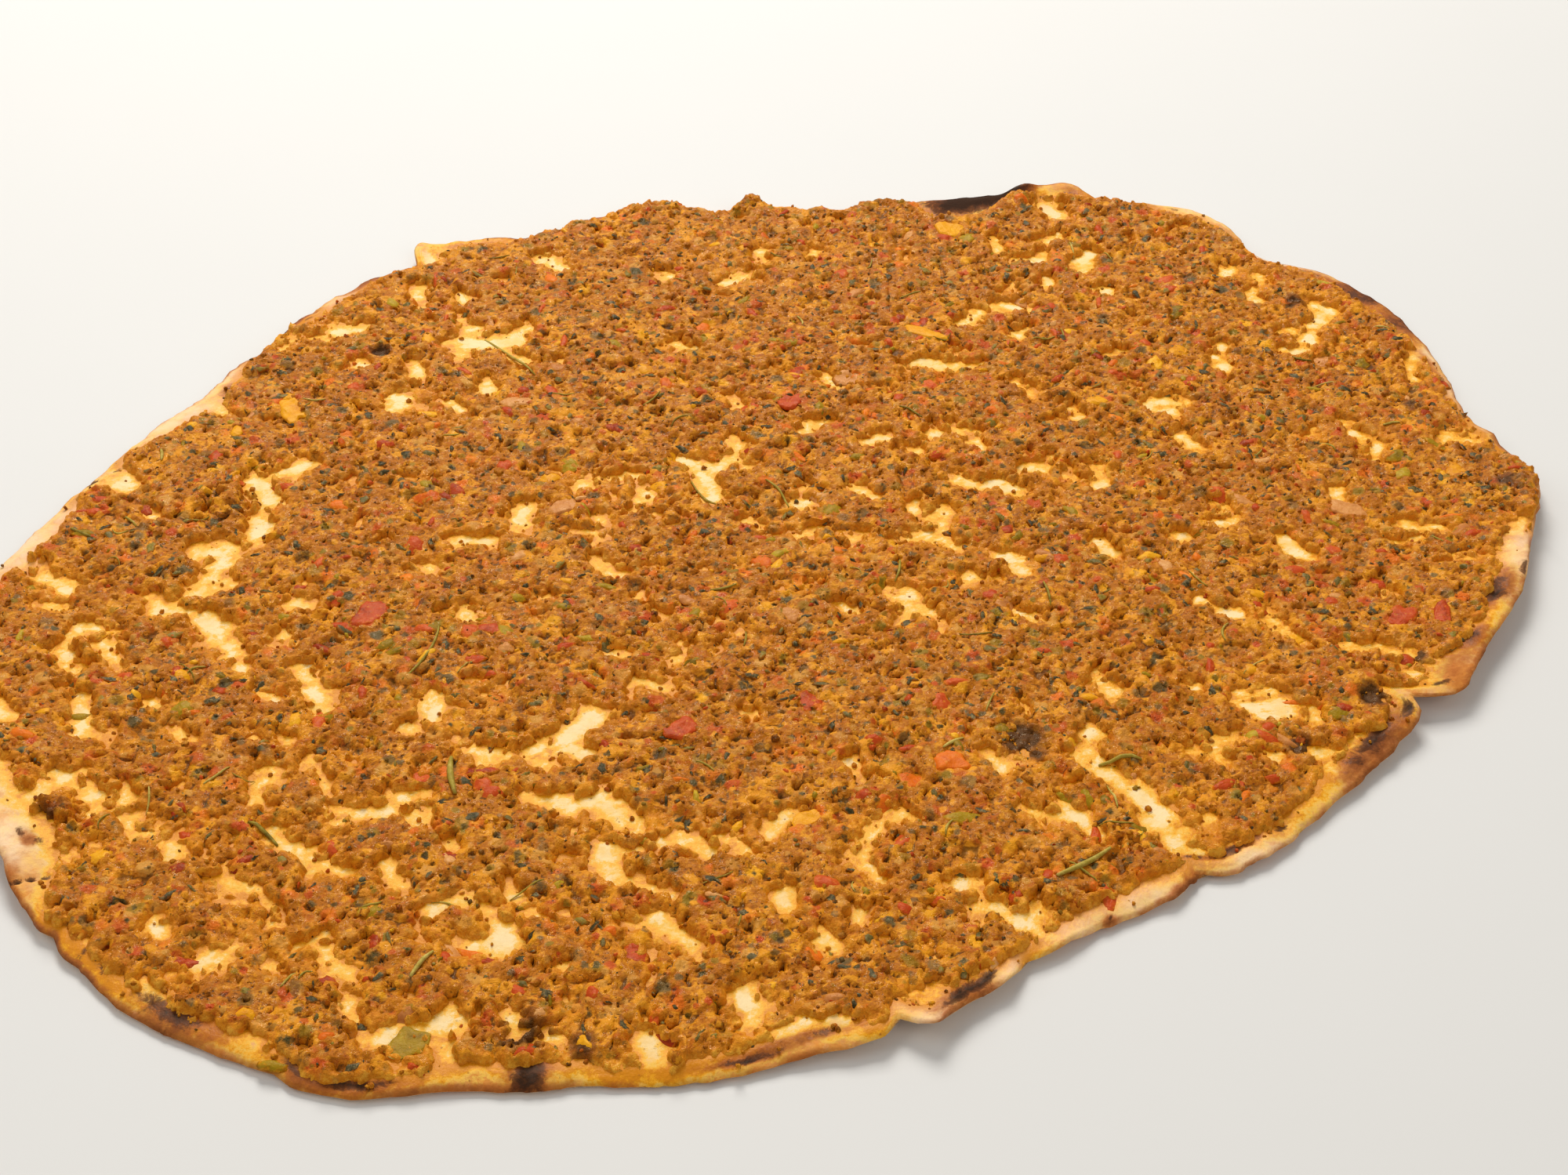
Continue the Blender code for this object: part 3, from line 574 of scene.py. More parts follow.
def makeBread():
    # top = underside + thickness: the rim is puffed, thins to the lip over the taper, and is rounded at the
    # very edge; creases are grooves exp(-((inward - place) / 0.5)^2), and curls lift the edge by
    # (1 - inward / band)^2
    direction, ringOut = discMap(bread["cells"])
    # rings lie closer together near the edge
    outward = 1.0 - (1.0 - ringOut) * (1.0 - 0.6 * np.exp(-(1.0 - ringOut) / 0.035))
    reach = edgeReach(direction)
    a = np.radians(direction)
    x, y = bread["hub"][0] + reach * outward * np.cos(a), bread["hub"][1] + reach * outward * np.sin(a)
    inward = reach * (1.0 - outward)
    rim = smooth(1.0 - (inward - 1.0) / (rimWidth(direction) + 1.5))
    puff = bread["puff"] * (1.0 + 1.3 * layered(x, y, 9.0, 73)) * rim
    bubbles = 0.28 * layered(x, y, 12.0, 75) + (0.10 + 0.18 * rim) * layered(x, y, 3.0, 78)
    bubbles = bubbles + 0.12 * rim * layered(x, y, 1.5, 69, 2)
    lip = bread["lip"] * (1.0 + 0.4 * softNoise(x, y, 14.0, 76) + 0.2 * softNoise(x, y, 4.0, 79))
    full = bread["thick"] + puff + bubbles + 0.1
    full = lip + (full - lip) * smooth(inward / bread["taper"]) ** 0.8
    for middle, place, spread, depth in bread["creases"]:
        near = bells(direction, ((middle, 1.0, spread),))
        wander = place + 0.5 * softNoise(x, y, 5.0, 77)
        full = full - depth * near * np.exp(-((inward - wander) / 0.5) ** 2)
    middle, length, depth = bread["crack"]
    crack = np.exp(-((direction - middle - 0.12 * (inward - 3) - 0.1 * softNoise(x, y, 2.0, 70)) / 0.13) ** 2)
    crack = crack * smooth((length - inward) / 1.5)
    full = full - depth * crack
    rounded = np.sqrt(np.clip(1.0 - (1.0 - np.minimum(inward / bread["rounding"], 1.0)) ** 2, 0.0, 1.0))
    base = lift(x, y) + 0.4 * np.clip(1.0 - inward / 3.0, 0.0, 1.0) ** 2
    for middle, height, spread, band in bread["curls"]:
        base = (base + bells(direction, ((middle, height, spread),))
                * np.clip(1.0 - inward / band, 0.0, 1.0) ** 2)
    z = base + full * (0.4 + 0.6 * rounded)
    # underside on a coarser grid of the same map
    step = bread["floorStep"]
    coarse = (slice(None, None, step), slice(None, None, step))
    under = (base + 0.3 * lip * np.clip(1.0 - inward / 0.8, 0.0, 1.0))[coarse]
    points = np.concatenate((toWorld(x, y, z).reshape(-1, 3),
                             toWorld(x[coarse], y[coarse], under).reshape(-1, 3)))
    n = bread["cells"]
    number = np.arange((n + 1) ** 2).reshape(n + 1, n + 1)
    upper = np.stack((number[:-1, :-1], number[1:, :-1], number[1:, 1:], number[:-1, 1:]), axis=-1)
    m = n // step
    below = number.size + np.arange((m + 1) ** 2).reshape(m + 1, m + 1)
    lower = np.stack((below[:-1, :-1], below[:-1, 1:], below[1:, 1:], below[1:, :-1]), axis=-1)
    fineRing = np.concatenate((number[:-1, 0], number[-1, :-1], number[:0:-1, -1], number[0, :0:-1]))
    coarseRing = np.concatenate((below[:-1, 0], below[-1, :-1], below[:0:-1, -1], below[0, :0:-1]))
    walls = []
    for k in range(len(coarseRing)):
        fine = [fineRing[(k * step + s) % len(fineRing)] for s in range(step + 1)]
        walls.append([coarseRing[k], coarseRing[(k + 1) % len(coarseRing)]] + fine[::-1])
    quads = np.concatenate((upper.reshape(-1, 4), lower.reshape(-1, 4)))
    # values for the look: how far inside the mince each point lies, and the oven's marks
    # the crack is darkened with the char mark as deep as it goes: painted shade in the crack
    char = np.maximum(ovenMark("char", x, y, direction, inward, 2.6, 81), 0.9 * crack)
    brown = ovenMark("brown", x, y, direction, inward, 4.0, 84)
    brown = np.clip(brown + 0.45 * np.exp(-(inward / 0.9) ** 2) * (0.7 + layered(x, y, 6.0, 86)), 0.0, 1.0)
    values = {"inside": np.clip(readField("presence", x, y), -6.0, 3.0), "rim": rim, "char": char,
              "brown": brown, "flour": ovenMark("flour", x, y, direction, inward, 3.0, 87),
              "gold": ovenMark("gold", x, y, direction, inward, 6.0, 88)}
    values = {label: np.concatenate((v.ravel(), v[coarse].ravel())) for label, v in values.items()}
    values["under"] = np.concatenate((np.zeros(number.size), np.ones(below.size)))
    piece = makePiece("flatbread_dough", points, quads, "flatbread", values, walls)
    print("bread", len(quads) * 2, "triangles")
    return piece


# marks of the oven on the rim: (direction, distance in, half length in degrees, half width, strength)
oven = {
    "char": ((67, 2.5, 3.4, 5.0, 1.5), (64, 2, 1.2, 3, 1.0), (238.6, 3.4, 1.8, 1.7, 0.8),
             (236, 4.2, 1.2, 1.0, 0.5), (220.8, 4.6, 0.4, 0.7, 0.8), (221.7, 6.6, 0.3, 0.7, 0.7),
             (222.4, 7.8, 0.3, 0.4, 0.6), (259.2, 2.5, 0.9, 3.4, 1.3), (249.6, 2.2, 2.4, 0.8, 1.0),
             (287.2, 2.2, 1.9, 1.2, 1.3), (289.3, 2.8, 0.6, 1.0, 0.9), (277.2, 3.6, 2.3, 0.5, 1.1),
             (272.4, 2.3, 1.7, 0.5, 1.0), (312, 4.4, 3.0, 0.6, 1.1), (317, 3.0, 0.5, 0.8, 0.8),
             (329.5, 4.2, 2.3, 1.4, 1.0), (334, 2.4, 0.8, 1.0, 1.1), (338, 4.0, 0.6, 0.9, 0.9),
             (344, 3.6, 0.9, 1.0, 1.0), (349.3, 4.2, 0.7, 1.3, 1.1), (350.8, 5.0, 1.2, 1.0, 0.9),
             (352.6, 0.8, 0.9, 0.6, 0.9), (5, 2.4, 2.4, 0.5, 1.0), (19, 4.0, 1.2, 0.7, 0.7),
             (27, 4.0, 0.6, 0.9, 0.9), (31, 3.0, 2.2, 2.0, 0.5), (41, 3.8, 3.6, 0.6, 1.1),
             (35.5, 4.0, 0.8, 0.8, 0.9), (50, 2.5, 0.6, 0.5, 0.6), (53, 1.5, 0.8, 0.8, 0.7),
             (58, 5.0, 1.0, 1.4, 0.6), (112, 0.6, 2.2, 0.6, 0.9), (143, 3.8, 1.0, 0.7, 0.8),
             (147.5, 2.4, 0.6, 0.6, 0.7), (163, 4.6, 0.7, 0.8, 1.1), (180, 1.0, 0.5, 0.7, 1.1),
             (178.6, 4.0, 0.5, 0.5, 0.7), (231, 2.0, 0.3, 0.9, 0.9), (233, 3.2, 0.5, 0.8, 1.0),
             (246, 3.0, 0.6, 0.8, 0.9), (300.2, 1.0, 0.3, 0.6, 0.9)),
    "brown": ((239, 2.6, 2.8, 3.0, 1.1), (231, 0.2, 6.0, 0.5, 0.5), (221.2, 5.4, 0.8, 1.6, 0.8),
              (223.2, 1.6, 0.9, 1.6, 0.45), (31, 2.6, 4.4, 4.0, 1.0), (26, 2.0, 2.6, 3.0, 0.5),
              (67, 3.0, 4.6, 6.5, 1.1), (57.5, 4.0, 2.0, 3.0, 0.7), (62.6, 1.5, 0.9, 3.0, 1.0),
              (250, 1.8, 4.0, 1.6, 0.9), (259.2, 3.0, 1.6, 4.0, 0.8), (287, 2.5, 3.0, 2.4, 0.7),
              (307, 1.2, 2.0, 1.4, 0.5), (326, 2.5, 2.0, 2.0, 0.7), (330, 3.0, 4.0, 3.0, 0.9),
              (340, 4.0, 3.0, 4.0, 0.5), (344, 3.0, 1.5, 2.0, 0.7), (350, 4.0, 2.5, 2.5, 1.0),
              (7, 1.0, 4.0, 1.2, 0.5), (19, 4.0, 3.0, 2.0, 0.8), (41, 4.0, 5.0, 1.2, 0.9),
              (53, 2.0, 2.0, 1.5, 0.6), (112, 1.4, 4.0, 1.5, 0.9), (118, 0.5, 4.0, 0.8, 0.7),
              (125, 2.6, 4.0, 0.8, 0.5), (138, 1.4, 3.0, 1.5, 0.8), (148, 0.8, 4.0, 0.8, 0.7),
              (155, 0.5, 4.0, 0.9, 0.9), (163, 4.0, 1.5, 1.5, 0.7), (216, 1.5, 2.0, 2.0, 0.3),
              (272, 2.2, 4.0, 1.0, 0.7), (277, 3.6, 4.0, 1.0, 0.8), (300, 0.8, 0.6, 1.0, 1.0),
              (312, 4.4, 4.0, 1.2, 0.7)),
    "flour": ((170, 2.5, 6.0, 4.0, 1.1), (188, 3.0, 5.0, 4.5, 1.1), (213, 2.0, 3.0, 3.0, 0.8),
              (220.8, 1.4, 2.0, 3.4, 1.4), (22, 1.5, 1.4, 2.4, 1.2), (17, 1.0, 2.6, 1.6, 0.9),
              (284.3, 1.2, 1.6, 2.2, 1.2), (290.5, 1.2, 1.2, 1.5, 1.0), (297, 1.5, 2.2, 2.0, 0.9),
              (303, 2.0, 3.0, 2.2, 0.9), (313, 1.2, 3.4, 1.8, 0.9), (355, 1.8, 2.6, 3.2, 1.0),
              (38, 1.2, 4.0, 1.8, 1.0), (10.5, 0.8, 1.0, 1.5, 0.7), (143, 1.5, 2.6, 2.0, 0.9),
              (160, 1.2, 3.0, 1.5, 0.8), (48, 1.5, 3.4, 2.2, 0.6), (198, 2.0, 8.0, 2.0, 0.7)),
    "gold": ((224.6, 3.0, 1.6, 4.0, 0.7), (231, 1.0, 4.0, 2.0, 0.5), (243, 2.0, 2.4, 3.0, 0.9),
             (256, 2.0, 3.4, 3.0, 1.0), (265, 1.0, 5.0, 3.0, 1.0), (272, 1.0, 4.0, 2.4, 0.9),
             (278, 1.0, 3.4, 3.0, 0.8), (293, 1.0, 2.0, 2.0, 0.9), (299, 2.5, 2.0, 2.0, 0.9),
             (321, 2.0, 3.4, 3.0, 0.8), (340, 4.0, 4.0, 5.5, 1.0), (346.5, 2.0, 1.6, 2.6, 1.0),
             (60, 5.0, 3.0, 6.0, 0.9), (109, 1.5, 3.4, 2.6, 0.9), (122, 1.5, 5.0, 2.4, 0.9),
             (26, 2.0, 2.4, 3.0, 1.0), (137, 2.0, 3.0, 2.0, 0.8), (85, 1.2, 8.0, 1.2, 0.5)),
}


def ovenMark(kind, x, y, direction, inward, size, seed):
    # sum of strength * exp(-(angle away / length)^2 - ((inward - place) / width)^2), made ragged by noise
    total = np.zeros_like(x)
    bend = direction + 0.5 * layered(x, y, size, seed + 3)
    for middle, place, length, width, strength in oven[kind]:
        away = (bend - middle + 180.0) % 360.0 - 180.0
        total = total + strength * np.exp(-(away / length) ** 2 - ((inward - place) / width) ** 2)
    return np.clip(total * (0.85 + 0.6 * layered(x, y, size, seed)), 0.0, 1.0)


breadPiece = makeBread()


def roundShape(cells):
    # a cube's faces cut into cells * cells squares and pushed out to a unit sphere, corners shared
    line = np.linspace(-1.0, 1.0, cells + 1)
    found, quads = {}, []
    for axis in range(3):
        for side in (-1.0, 1.0):
            place = {}
            for i, p in enumerate(line):
                for j, q in enumerate(line):
                    corner = [0.0, 0.0, 0.0]
                    corner[axis], corner[(axis + 1) % 3], corner[(axis + 2) % 3] = side, p, q
                    place[i, j] = found.setdefault(tuple(round(c, 6) for c in corner), len(found))
            for i in range(cells):
                for j in range(cells):
                    quad = (place[i, j], place[i + 1, j], place[i + 1, j + 1], place[i, j + 1])
                    quads.append(quad if side > 0 else quad[::-1])
    points = np.array(list(found))
    return points / np.linalg.norm(points, axis=1, keepdims=True), np.array(quads)


def uneven(points, rng, n, amount):
    # the plan outline of each of n copies swells by amount * (sin(2a + p) + 0.7 sin(3a + q)
    # + 0.4 sin(5a + r)), where a is the direction and p, q, r are random
    around = np.arctan2(points[:, 1], points[:, 0])[None, :]
    p, q, r = rng.uniform(0, 6.3, (3, n, 1))
    wave = np.sin(2 * around + p) + 0.7 * np.sin(3 * around + q) + 0.4 * np.sin(5 * around + r)
    return 1.0 + amount * wave


def discShape(sides, rings):
    # a closed disc: a middle, rings of points out to radius one, and one point below
    around = np.arange(sides) * 2 * math.pi / sides
    radius = np.arange(1, rings + 1) / rings
    circle = np.stack((np.cos(around), np.sin(around)), axis=1)
    points = np.concatenate(([[0, 0]], (radius[:, None, None] * circle).reshape(-1, 2), [[0, 0]]))
    here, after = 1 + np.arange(sides), 1 + (np.arange(sides) + 1) % sides
    faces = [np.stack((np.zeros(sides, int), here, after), axis=1)]
    for ring in range(rings - 1):
        a, b = here + ring * sides, after + ring * sides
        faces += [np.stack((a, a + sides, b + sides), axis=1), np.stack((a, b + sides, b), axis=1)]
    a, b = here + (rings - 1) * sides, after + (rings - 1) * sides
    faces.append(np.stack((b, a, np.full(sides, len(points) - 1)), axis=1))
    return points, np.concatenate(faces)


def pickPlaces(rng, wanted, least, most=99.0):
    # random plan places where the mince's presence lies between least and most
    found = np.zeros((0, 2))
    while len(found) < wanted:
        x = rng.uniform(ringX.min(), ringX.max(), wanted * 2)
        y = rng.uniform(ringY.min(), ringY.max(), wanted * 2)
        here = readField("presence", x, y)
        _, inward = polar(x, y)
        keep = (here > least) & (here < most) & (inward > 0.8)
        found = np.concatenate((found, np.stack((x, y), axis=1)[keep]))
    return found[:wanted]


def strew(name, shape, places, sizes, rng, sink, wobble):
    # many copies joined in one mesh: each is scaled by its sizes (length, width, thickness), roughened,
    # turned at random about the local normal, leaned, and set into the ground by sink
    lean, outline = 0.35, 0.08
    points, faces = shape
    n, m = len(places), len(points)
    x, y = places[:, 0], places[:, 1]
    topHere = np.maximum(readField("height", x, y), lift(x, y) + bread["thick"] + 0.1)
    normal = np.stack((-readField("slopeX", x, y), -readField("slopeY", x, y), np.full(n, 1.0)), axis=1)
    normal[:, :2] = np.clip(normal[:, :2], -1.0, 1.0) + rng.normal(0, lean, (n, 2))
    normal /= np.linalg.norm(normal, axis=1, keepdims=True)
    turn = rng.uniform(0, 2 * math.pi, n)
    heading = np.stack((np.cos(turn), np.sin(turn), np.zeros(n)), axis=1)
    heading -= normal * (heading * normal).sum(axis=1, keepdims=True)
    heading /= np.linalg.norm(heading, axis=1, keepdims=True)
    side = np.cross(normal, heading)
    local = np.repeat(points[None], n, axis=0)
    local = local * (1.0 + wobble * rng.normal(0, 1, (n, m, 1)))
    local[:, :, :2] *= uneven(points, rng, n, outline)[:, :, None]
    local = local * sizes[:, None, :] / 2
    # these draws are passed over: the tones and places that follow are drawn after them
    rng.normal(0, 1, n * (m + 1))
    at = np.stack((x, y, topHere), axis=1) + normal * (sizes[:, 2:] * (0.5 - sink))
    world = (at[:, None, :] + local[:, :, :1] * heading[:, None, :] + local[:, :, 1:2] * side[:, None, :]
             + local[:, :, 2:] * normal[:, None, :])
    world = toWorld(world[..., 0], world[..., 1], world[..., 2]).reshape(-1, 3)
    joined = (faces[None] + m * np.arange(n)[:, None, None]).reshape(-1, faces.shape[1])
    piece = makePiece(name, world, joined, None, {"tone": np.repeat(rng.random(n), m)})
    print(name, len(joined) * (faces.shape[1] - 2), "triangles")
    return piece


def inlay(name, shape, places, sizes, rng, proud, dip, tilt, crinkle, outline, turn=None):
    # flat bits pressed into the surface: over a disc of radius r the height is that of the smoothed ground
    # + proud * (1 - r^2) - dip * r^4 + a tilt, so that the rim dips under and the crumbs close over it
    disc, faces = shape
    n, m = len(places), len(disc)
    r = np.hypot(disc[:, 0], disc[:, 1])[None, :]
    turn = rng.uniform(0, 2 * math.pi, (n, 1)) if turn is None else turn
    swell = uneven(disc, rng, n, outline) * (1.0 + 0.06 * rng.normal(0, 1, (n, m)))
    u, v = disc[None, :, 0] * swell * sizes[:, :1] / 2, disc[None, :, 1] * swell * sizes[:, 1:] / 2
    x = places[:, :1] + u * np.cos(turn) - v * np.sin(turn)
    y = places[:, 1:] + u * np.sin(turn) + v * np.cos(turn)
    ground = np.maximum(readField("soft", x, y), lift(x, y) + bread["thick"] + 0.1)
    z = (ground + proud * (1 - r ** 2) - dip * r ** 4
         + tilt * (u * rng.normal(0, 1, (n, 1)) + v * rng.normal(0, 1, (n, 1))))
    z = z + crinkle * rng.normal(0, 1, (n, m)) * (r < 0.9)
    z[:, -1] = z[:, 0] - proud - dip - 0.25
    points = toWorld(x, y, z).reshape(-1, 3)
    joined = (faces[None] + m * np.arange(n)[:, None, None]).reshape(-1, 3)
    tones = {"tone": np.repeat(rng.random(n), m), "rim": np.tile(r.ravel(), n)}
    piece = makePiece(name, points, joined, None, tones)
    print(name, len(joined), "triangles")
    return piece


# crumbs of mince: how many, the least and most presence of the mince, millimetres across, how that
# varies by direction, divisions of a face, how deep they sit, how rough they are
crumbs = {
    "mince_crumbs_large": (300, (0.6, 99.0), (1.0, 2.2), (0.6, 1.3), 3, 0.62, 0.2),
    "mince_crumbs_small": (3200, (0.2, 99.0), (0.4, 1.0), (0.7, 1.3), 2, 0.5, 0.14),
    "mince_crumbs_loose": (300, (-2.5, 0.4), (0.4, 1.1), (0.7, 1.3), 2, 0.3, 0.14),
}
rng = np.random.default_rng(7)
crumbPieces = []
for name, (wanted, between, across, spread, divisions, sink, wobble) in crumbs.items():
    places = pickPlaces(rng, wanted, *between)
    size = rng.uniform(*across, (wanted, 1)) * rng.uniform(*spread, (wanted, 3))
    crumbPieces.append(strew(name, roundShape(divisions), places, size, rng, sink, wobble))

herbs = {"leaves": 900, "flecks": 1500}
places = pickPlaces(rng, herbs["leaves"], 0.4)
length = rng.uniform(1.6, 4.4, len(places))
size = np.stack((length, length * rng.uniform(0.28, 0.7, len(places))), axis=1)
herbLeaves = inlay("herb_leaves", discShape(9, 3), places, size, rng,
                   proud=0.32, dip=0.22, tilt=0.16, crinkle=0.11, outline=0.17)
places = pickPlaces(rng, herbs["flecks"], 0.1)
length = rng.uniform(0.5, 1.3, len(places))
size = np.stack((length, length * rng.uniform(0.4, 0.9, len(places))), axis=1)
herbFlecks = inlay("herb_flecks", discShape(6, 2), places, size, rng,
                   proud=0.26, dip=0.1, tilt=0.2, crinkle=0.05, outline=0.17)

bits = {
    # placed: x, y, length, width; and how many large and small ones are strewn at random
    "red": {"slot": "red_pepper", "large": 140, "small": 130, "placed": (
        (-86, -47, 4, 3), (-105, -1, 5, 3), (-60, 8, 3, 4), (-106, -67, 3, 2), (-79, -66, 2, 3.5),
        (-86, -73, 3, 5), (-125, -63, 3, 3), (-119, -53, 3, 2.5), (-57, -46, 6, 3), (-54, -86, 6, 4),
        (-65, -88, 3, 3.5), (-57, -108, 3, 4), (2, 47, 4, 5), (25, 38, 3, 3), (12, 89, 3, 4),
        (26, 72, 2, 3), (10, 109, 3, 3), (42, -31, 3, 4), (6, -65, 4, 6), (31, -64, 4, 4),
        (18, -75, 3, 3), (57, -19, 3, 4), (9, -112, 6, 2.5), (59, -113, 3, 5), (23, -101, 3, 4),
        (58, -97, 2, 4), (105, -20, 4, 4), (114, -13, 4, 3), (93, -68, 3, 3), (60, 77, 6, 5),
        (-42, -139, 3, 3), (-23, -129, 4, 5), (-98, -134, 5, 2), (-30, -19, 3, 3), (-74, -137, 3, 3),
        (-143, -8, 4, 3), (-133, -10, 3, 3), (75, -28, 3, 2), (84, -51, 2, 4), (88, -77, 2, 4))},
    "yellow": {"slot": "yellow_pepper", "large": 40, "small": 90, "placed": (
        (-50, 5, 5, 4), (90, 60, 4, 5), (84, 55, 3, 5), (69, 39, 5, 4), (53, -18, 4, 2),
        (60, -61, 4, 2.5), (66, -98, 3, 3), (18, -120, 3, 2), (-43, -31, 3, 2), (12, -47, 3, 1.5),
        (-86, -146, 3, 3), (0, -136, 3, 2), (102, -41, 4, 4), (96, -28, 4, 3), (92, -51, 3, 2.5),
        (-64, 36, 4, 3))},
    "orange": {"slot": "orange_pepper", "large": 45, "small": 40, "placed": (
        (-75, -4, 5, 4), (-93, -8, 4, 3), (-4, -22, 4, 4), (100, -60, 6, 1.5), (57, 125, 4, 3))},
    "green": {"slot": "green_pepper", "large": 75, "small": 80, "placed": (
        (-80, -155, 4, 2), (-131, -74, 4, 2), (-98, -44, 3, 2), (-112, -72, 4, 4), (10, -4, 4, 3.5),
        (-3, 59, 4, 2), (-20, 59, 3, 2.5), (-143, -20, 5, 2), (-35, -32, 4, 2), (-17, -54, 4, 2),
        (-69, -122, 4, 4), (87, -8, 2, 2), (75, -24, 3, 3), (43, -37, 3, 2.5), (34, -95, 6, 3),
        (132, 58, 4, 3))},
    "onion": {"slot": "onion", "large": 50, "small": 60, "placed": (
        (-60, 32, 6, 4), (14, 46, 6, 6), (112, -29, 2.5, 2.5), (2, -39, 4, 4))},
}
bitPieces = {}
for colour, kind in bits.items():
    placed = np.array(kind["placed"])
    strewn = pickPlaces(rng, kind["large"] + kind["small"], 0.3)
    length = np.concatenate((rng.uniform(2.6, 6.2, kind["large"]), rng.uniform(0.9, 2.0, kind["small"])))
    width = length * rng.uniform(0.35, 0.85, len(length))
    places = np.concatenate((placed[:, :2], strewn))
    size = np.stack((np.concatenate((placed[:, 2] * 1.3, length)),
                     np.concatenate((placed[:, 3] * 1.3, width))), axis=1)
    turn = rng.uniform(0, 2 * math.pi, (len(size), 1))
    turn[:len(placed)] = 0.0
    bitPieces[colour] = inlay(f"{colour}_bits", discShape(10, 4), places, size, rng,
                              proud=0.42, dip=0.35, tilt=0.06, crinkle=0.05, outline=0.17, turn=turn)


slab = {
    "square": 0.4,       # 0 is an ellipsoid, 1 a box
    "uneven": 0.13,      # how much the outline swells in and out
    "rise": 0.7,         # height of its upper side over the smoothed mince
}


def makeVegetable(node, length, width, turn, rng):
    # a flat uneven slab: direction d on the unit sphere goes to d / max(|d|)^square, scaled by the half
    # sizes, its outline swollen by waves; the upper side follows the smoothed mince a little above it
    points, faces = roundShape(12)
    px, py = nodeMiddle(node)
    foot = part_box(node)[0][2] / mm
    block = points / np.abs(points).max(axis=1, keepdims=True) ** slab["square"]
    block[:, :2] *= uneven(points, rng, 1, slab["uneven"])[0][:, None]
    nibble = 1.0 + 0.12 * layered(block[:, 0] * 4, block[:, 1] * 4, 1.6, rng.integers(900))
    along, across = block[:, 0] * length / 2 * nibble, block[:, 1] * width / 2 * nibble
    c, s = math.cos(math.radians(turn)), math.sin(math.radians(turn))
    x, y = px + c * along - s * across, py + s * along + c * across
    level = (0.5 * readField("level", np.array([px]), np.array([py]))[0]
             + 0.5 * readField("level", x, y) + slab["rise"])
    tilt = rng.normal(0, 0.04, 2)
    wrinkle = 0.4 * layered(x, y, 2.4, rng.integers(900)) + tilt[0] * along + tilt[1] * across
    up = 0.5 + 0.5 * block[:, 2] / np.abs(block[:, 2]).max()
    z = foot + (level - foot) * up + wrinkle * up
    rim = np.hypot(block[:, 0], block[:, 1])
    return makePiece(f"{node}_flesh", toWorld(x, y, z), faces, node,
                     {"tone": 0.5 + 0.4 * layered(x, y, 3.0, rng.integers(900)),
                      "rim": 0.8 * rim / rim.max()})


vegetablePieces = {}
for number, (node, (slot, length, width, turn)) in enumerate(vegetables.items()):
    piece = makeVegetable(node, length, width, turn, np.random.default_rng(300 + number))
    vegetablePieces.setdefault(slot, []).append(piece)
print("vegetables", len(vegetables))


stalks = {
    # from x, y to x, y, thickness, sideways bow
    "long": ((-70, 58, -57, 43, 0.7, 0.5), (50, -109, 60, -102, 1.1, -0.6), (60, -79, 68, -78, 0.9, 0.3),
             (-67, -46, -72, -62, 0.6, 1.6), (-94, -101, -88, -106, 0.9, 0.4),
             (-20, 6, -13, -5, 0.6, -0.8), (-4, 5, 1, -4, 0.6, 0.8), (-146, -19, -141, -22, 0.8, 0.2),
             (25, 34, 30, 30, 0.5, 0.4), (31, -77, 35, -73, 0.7, 0.2), (-60, -83, -58, -93, 1.3, -0.5),
             (53, -27, 54, -34, 0.6, 0.2), (24, -20, 23, -27, 0.6, 0.4), (-60, -137, -57, -131, 0.9, 0.4),
             (-134, 10, -133, 6, 0.8, 0.2)),
    "short": 70,
    "sides": 6,
    "rings": 9,
}


def makeStalks(name, rows, colours):
    # a tube along a bowed line: at t the middle is from + t * (to - from) + bow * 4t(1 - t) sideways
    sides, rings = stalks["sides"], stalks["rings"]
    t = np.linspace(0.0, 1.0, rings)[None, :]
    x0, y0, x1, y1, thick, bow = [rows[:, k:k + 1] for k in range(6)]
    far = np.hypot(x1 - x0, y1 - y0)
    sideX, sideY = -(y1 - y0) / far, (x1 - x0) / far
    hump = 4 * t * (1 - t) * bow
    x, y = x0 + t * (x1 - x0) + hump * sideX, y0 + t * (y1 - y0) + hump * sideY
    ground = np.maximum(readField("height", x, y), lift(x, y) + bread["thick"] + 0.1)
    # the stalk bridges small hollows: its height is smoothed along its length
    for _ in range(3):
        ground[:, 1:-1] = np.maximum(ground[:, 1:-1], (ground[:, :-2] + ground[:, 2:]) / 2)
    z = ground + 0.25 * thick
    around = np.arange(sides) * 2 * math.pi / sides
    taper = thick / 2 * (0.35 + 0.65 * np.sin(np.pi * np.clip(0.12 + 0.8 * t, 0, 1)))
    out = np.cos(around)[None, None, :] * taper[:, :, None]
    up = np.sin(around)[None, None, :] * taper[:, :, None]
    px = x[:, :, None] + out * sideX[:, :, None]
    py = y[:, :, None] + out * sideY[:, :, None]
    pz = z[:, :, None] + up
    points = toWorld(px, py, pz).reshape(-1, 3)
    per = sides * rings
    i, j = np.meshgrid(np.arange(rings - 1), np.arange(sides), indexing="ij")
    k = (j + 1) % sides
    tube = np.stack((i * sides + j, i * sides + k, (i + 1) * sides + k, (i + 1) * sides + j), axis=-1)
    tube = tube.reshape(-1, 4)[:, ::-1]
    quads = (tube[None] + per * np.arange(len(rows))[:, None, None]).reshape(-1, 4)
    caps = []
    for n in range(len(rows)):
        first = n * per + np.arange(sides)
        caps += [first, (first + per - sides)[::-1]]
    return makePiece(name, points, quads, None, {"tone": np.repeat(colours, per)}, caps)


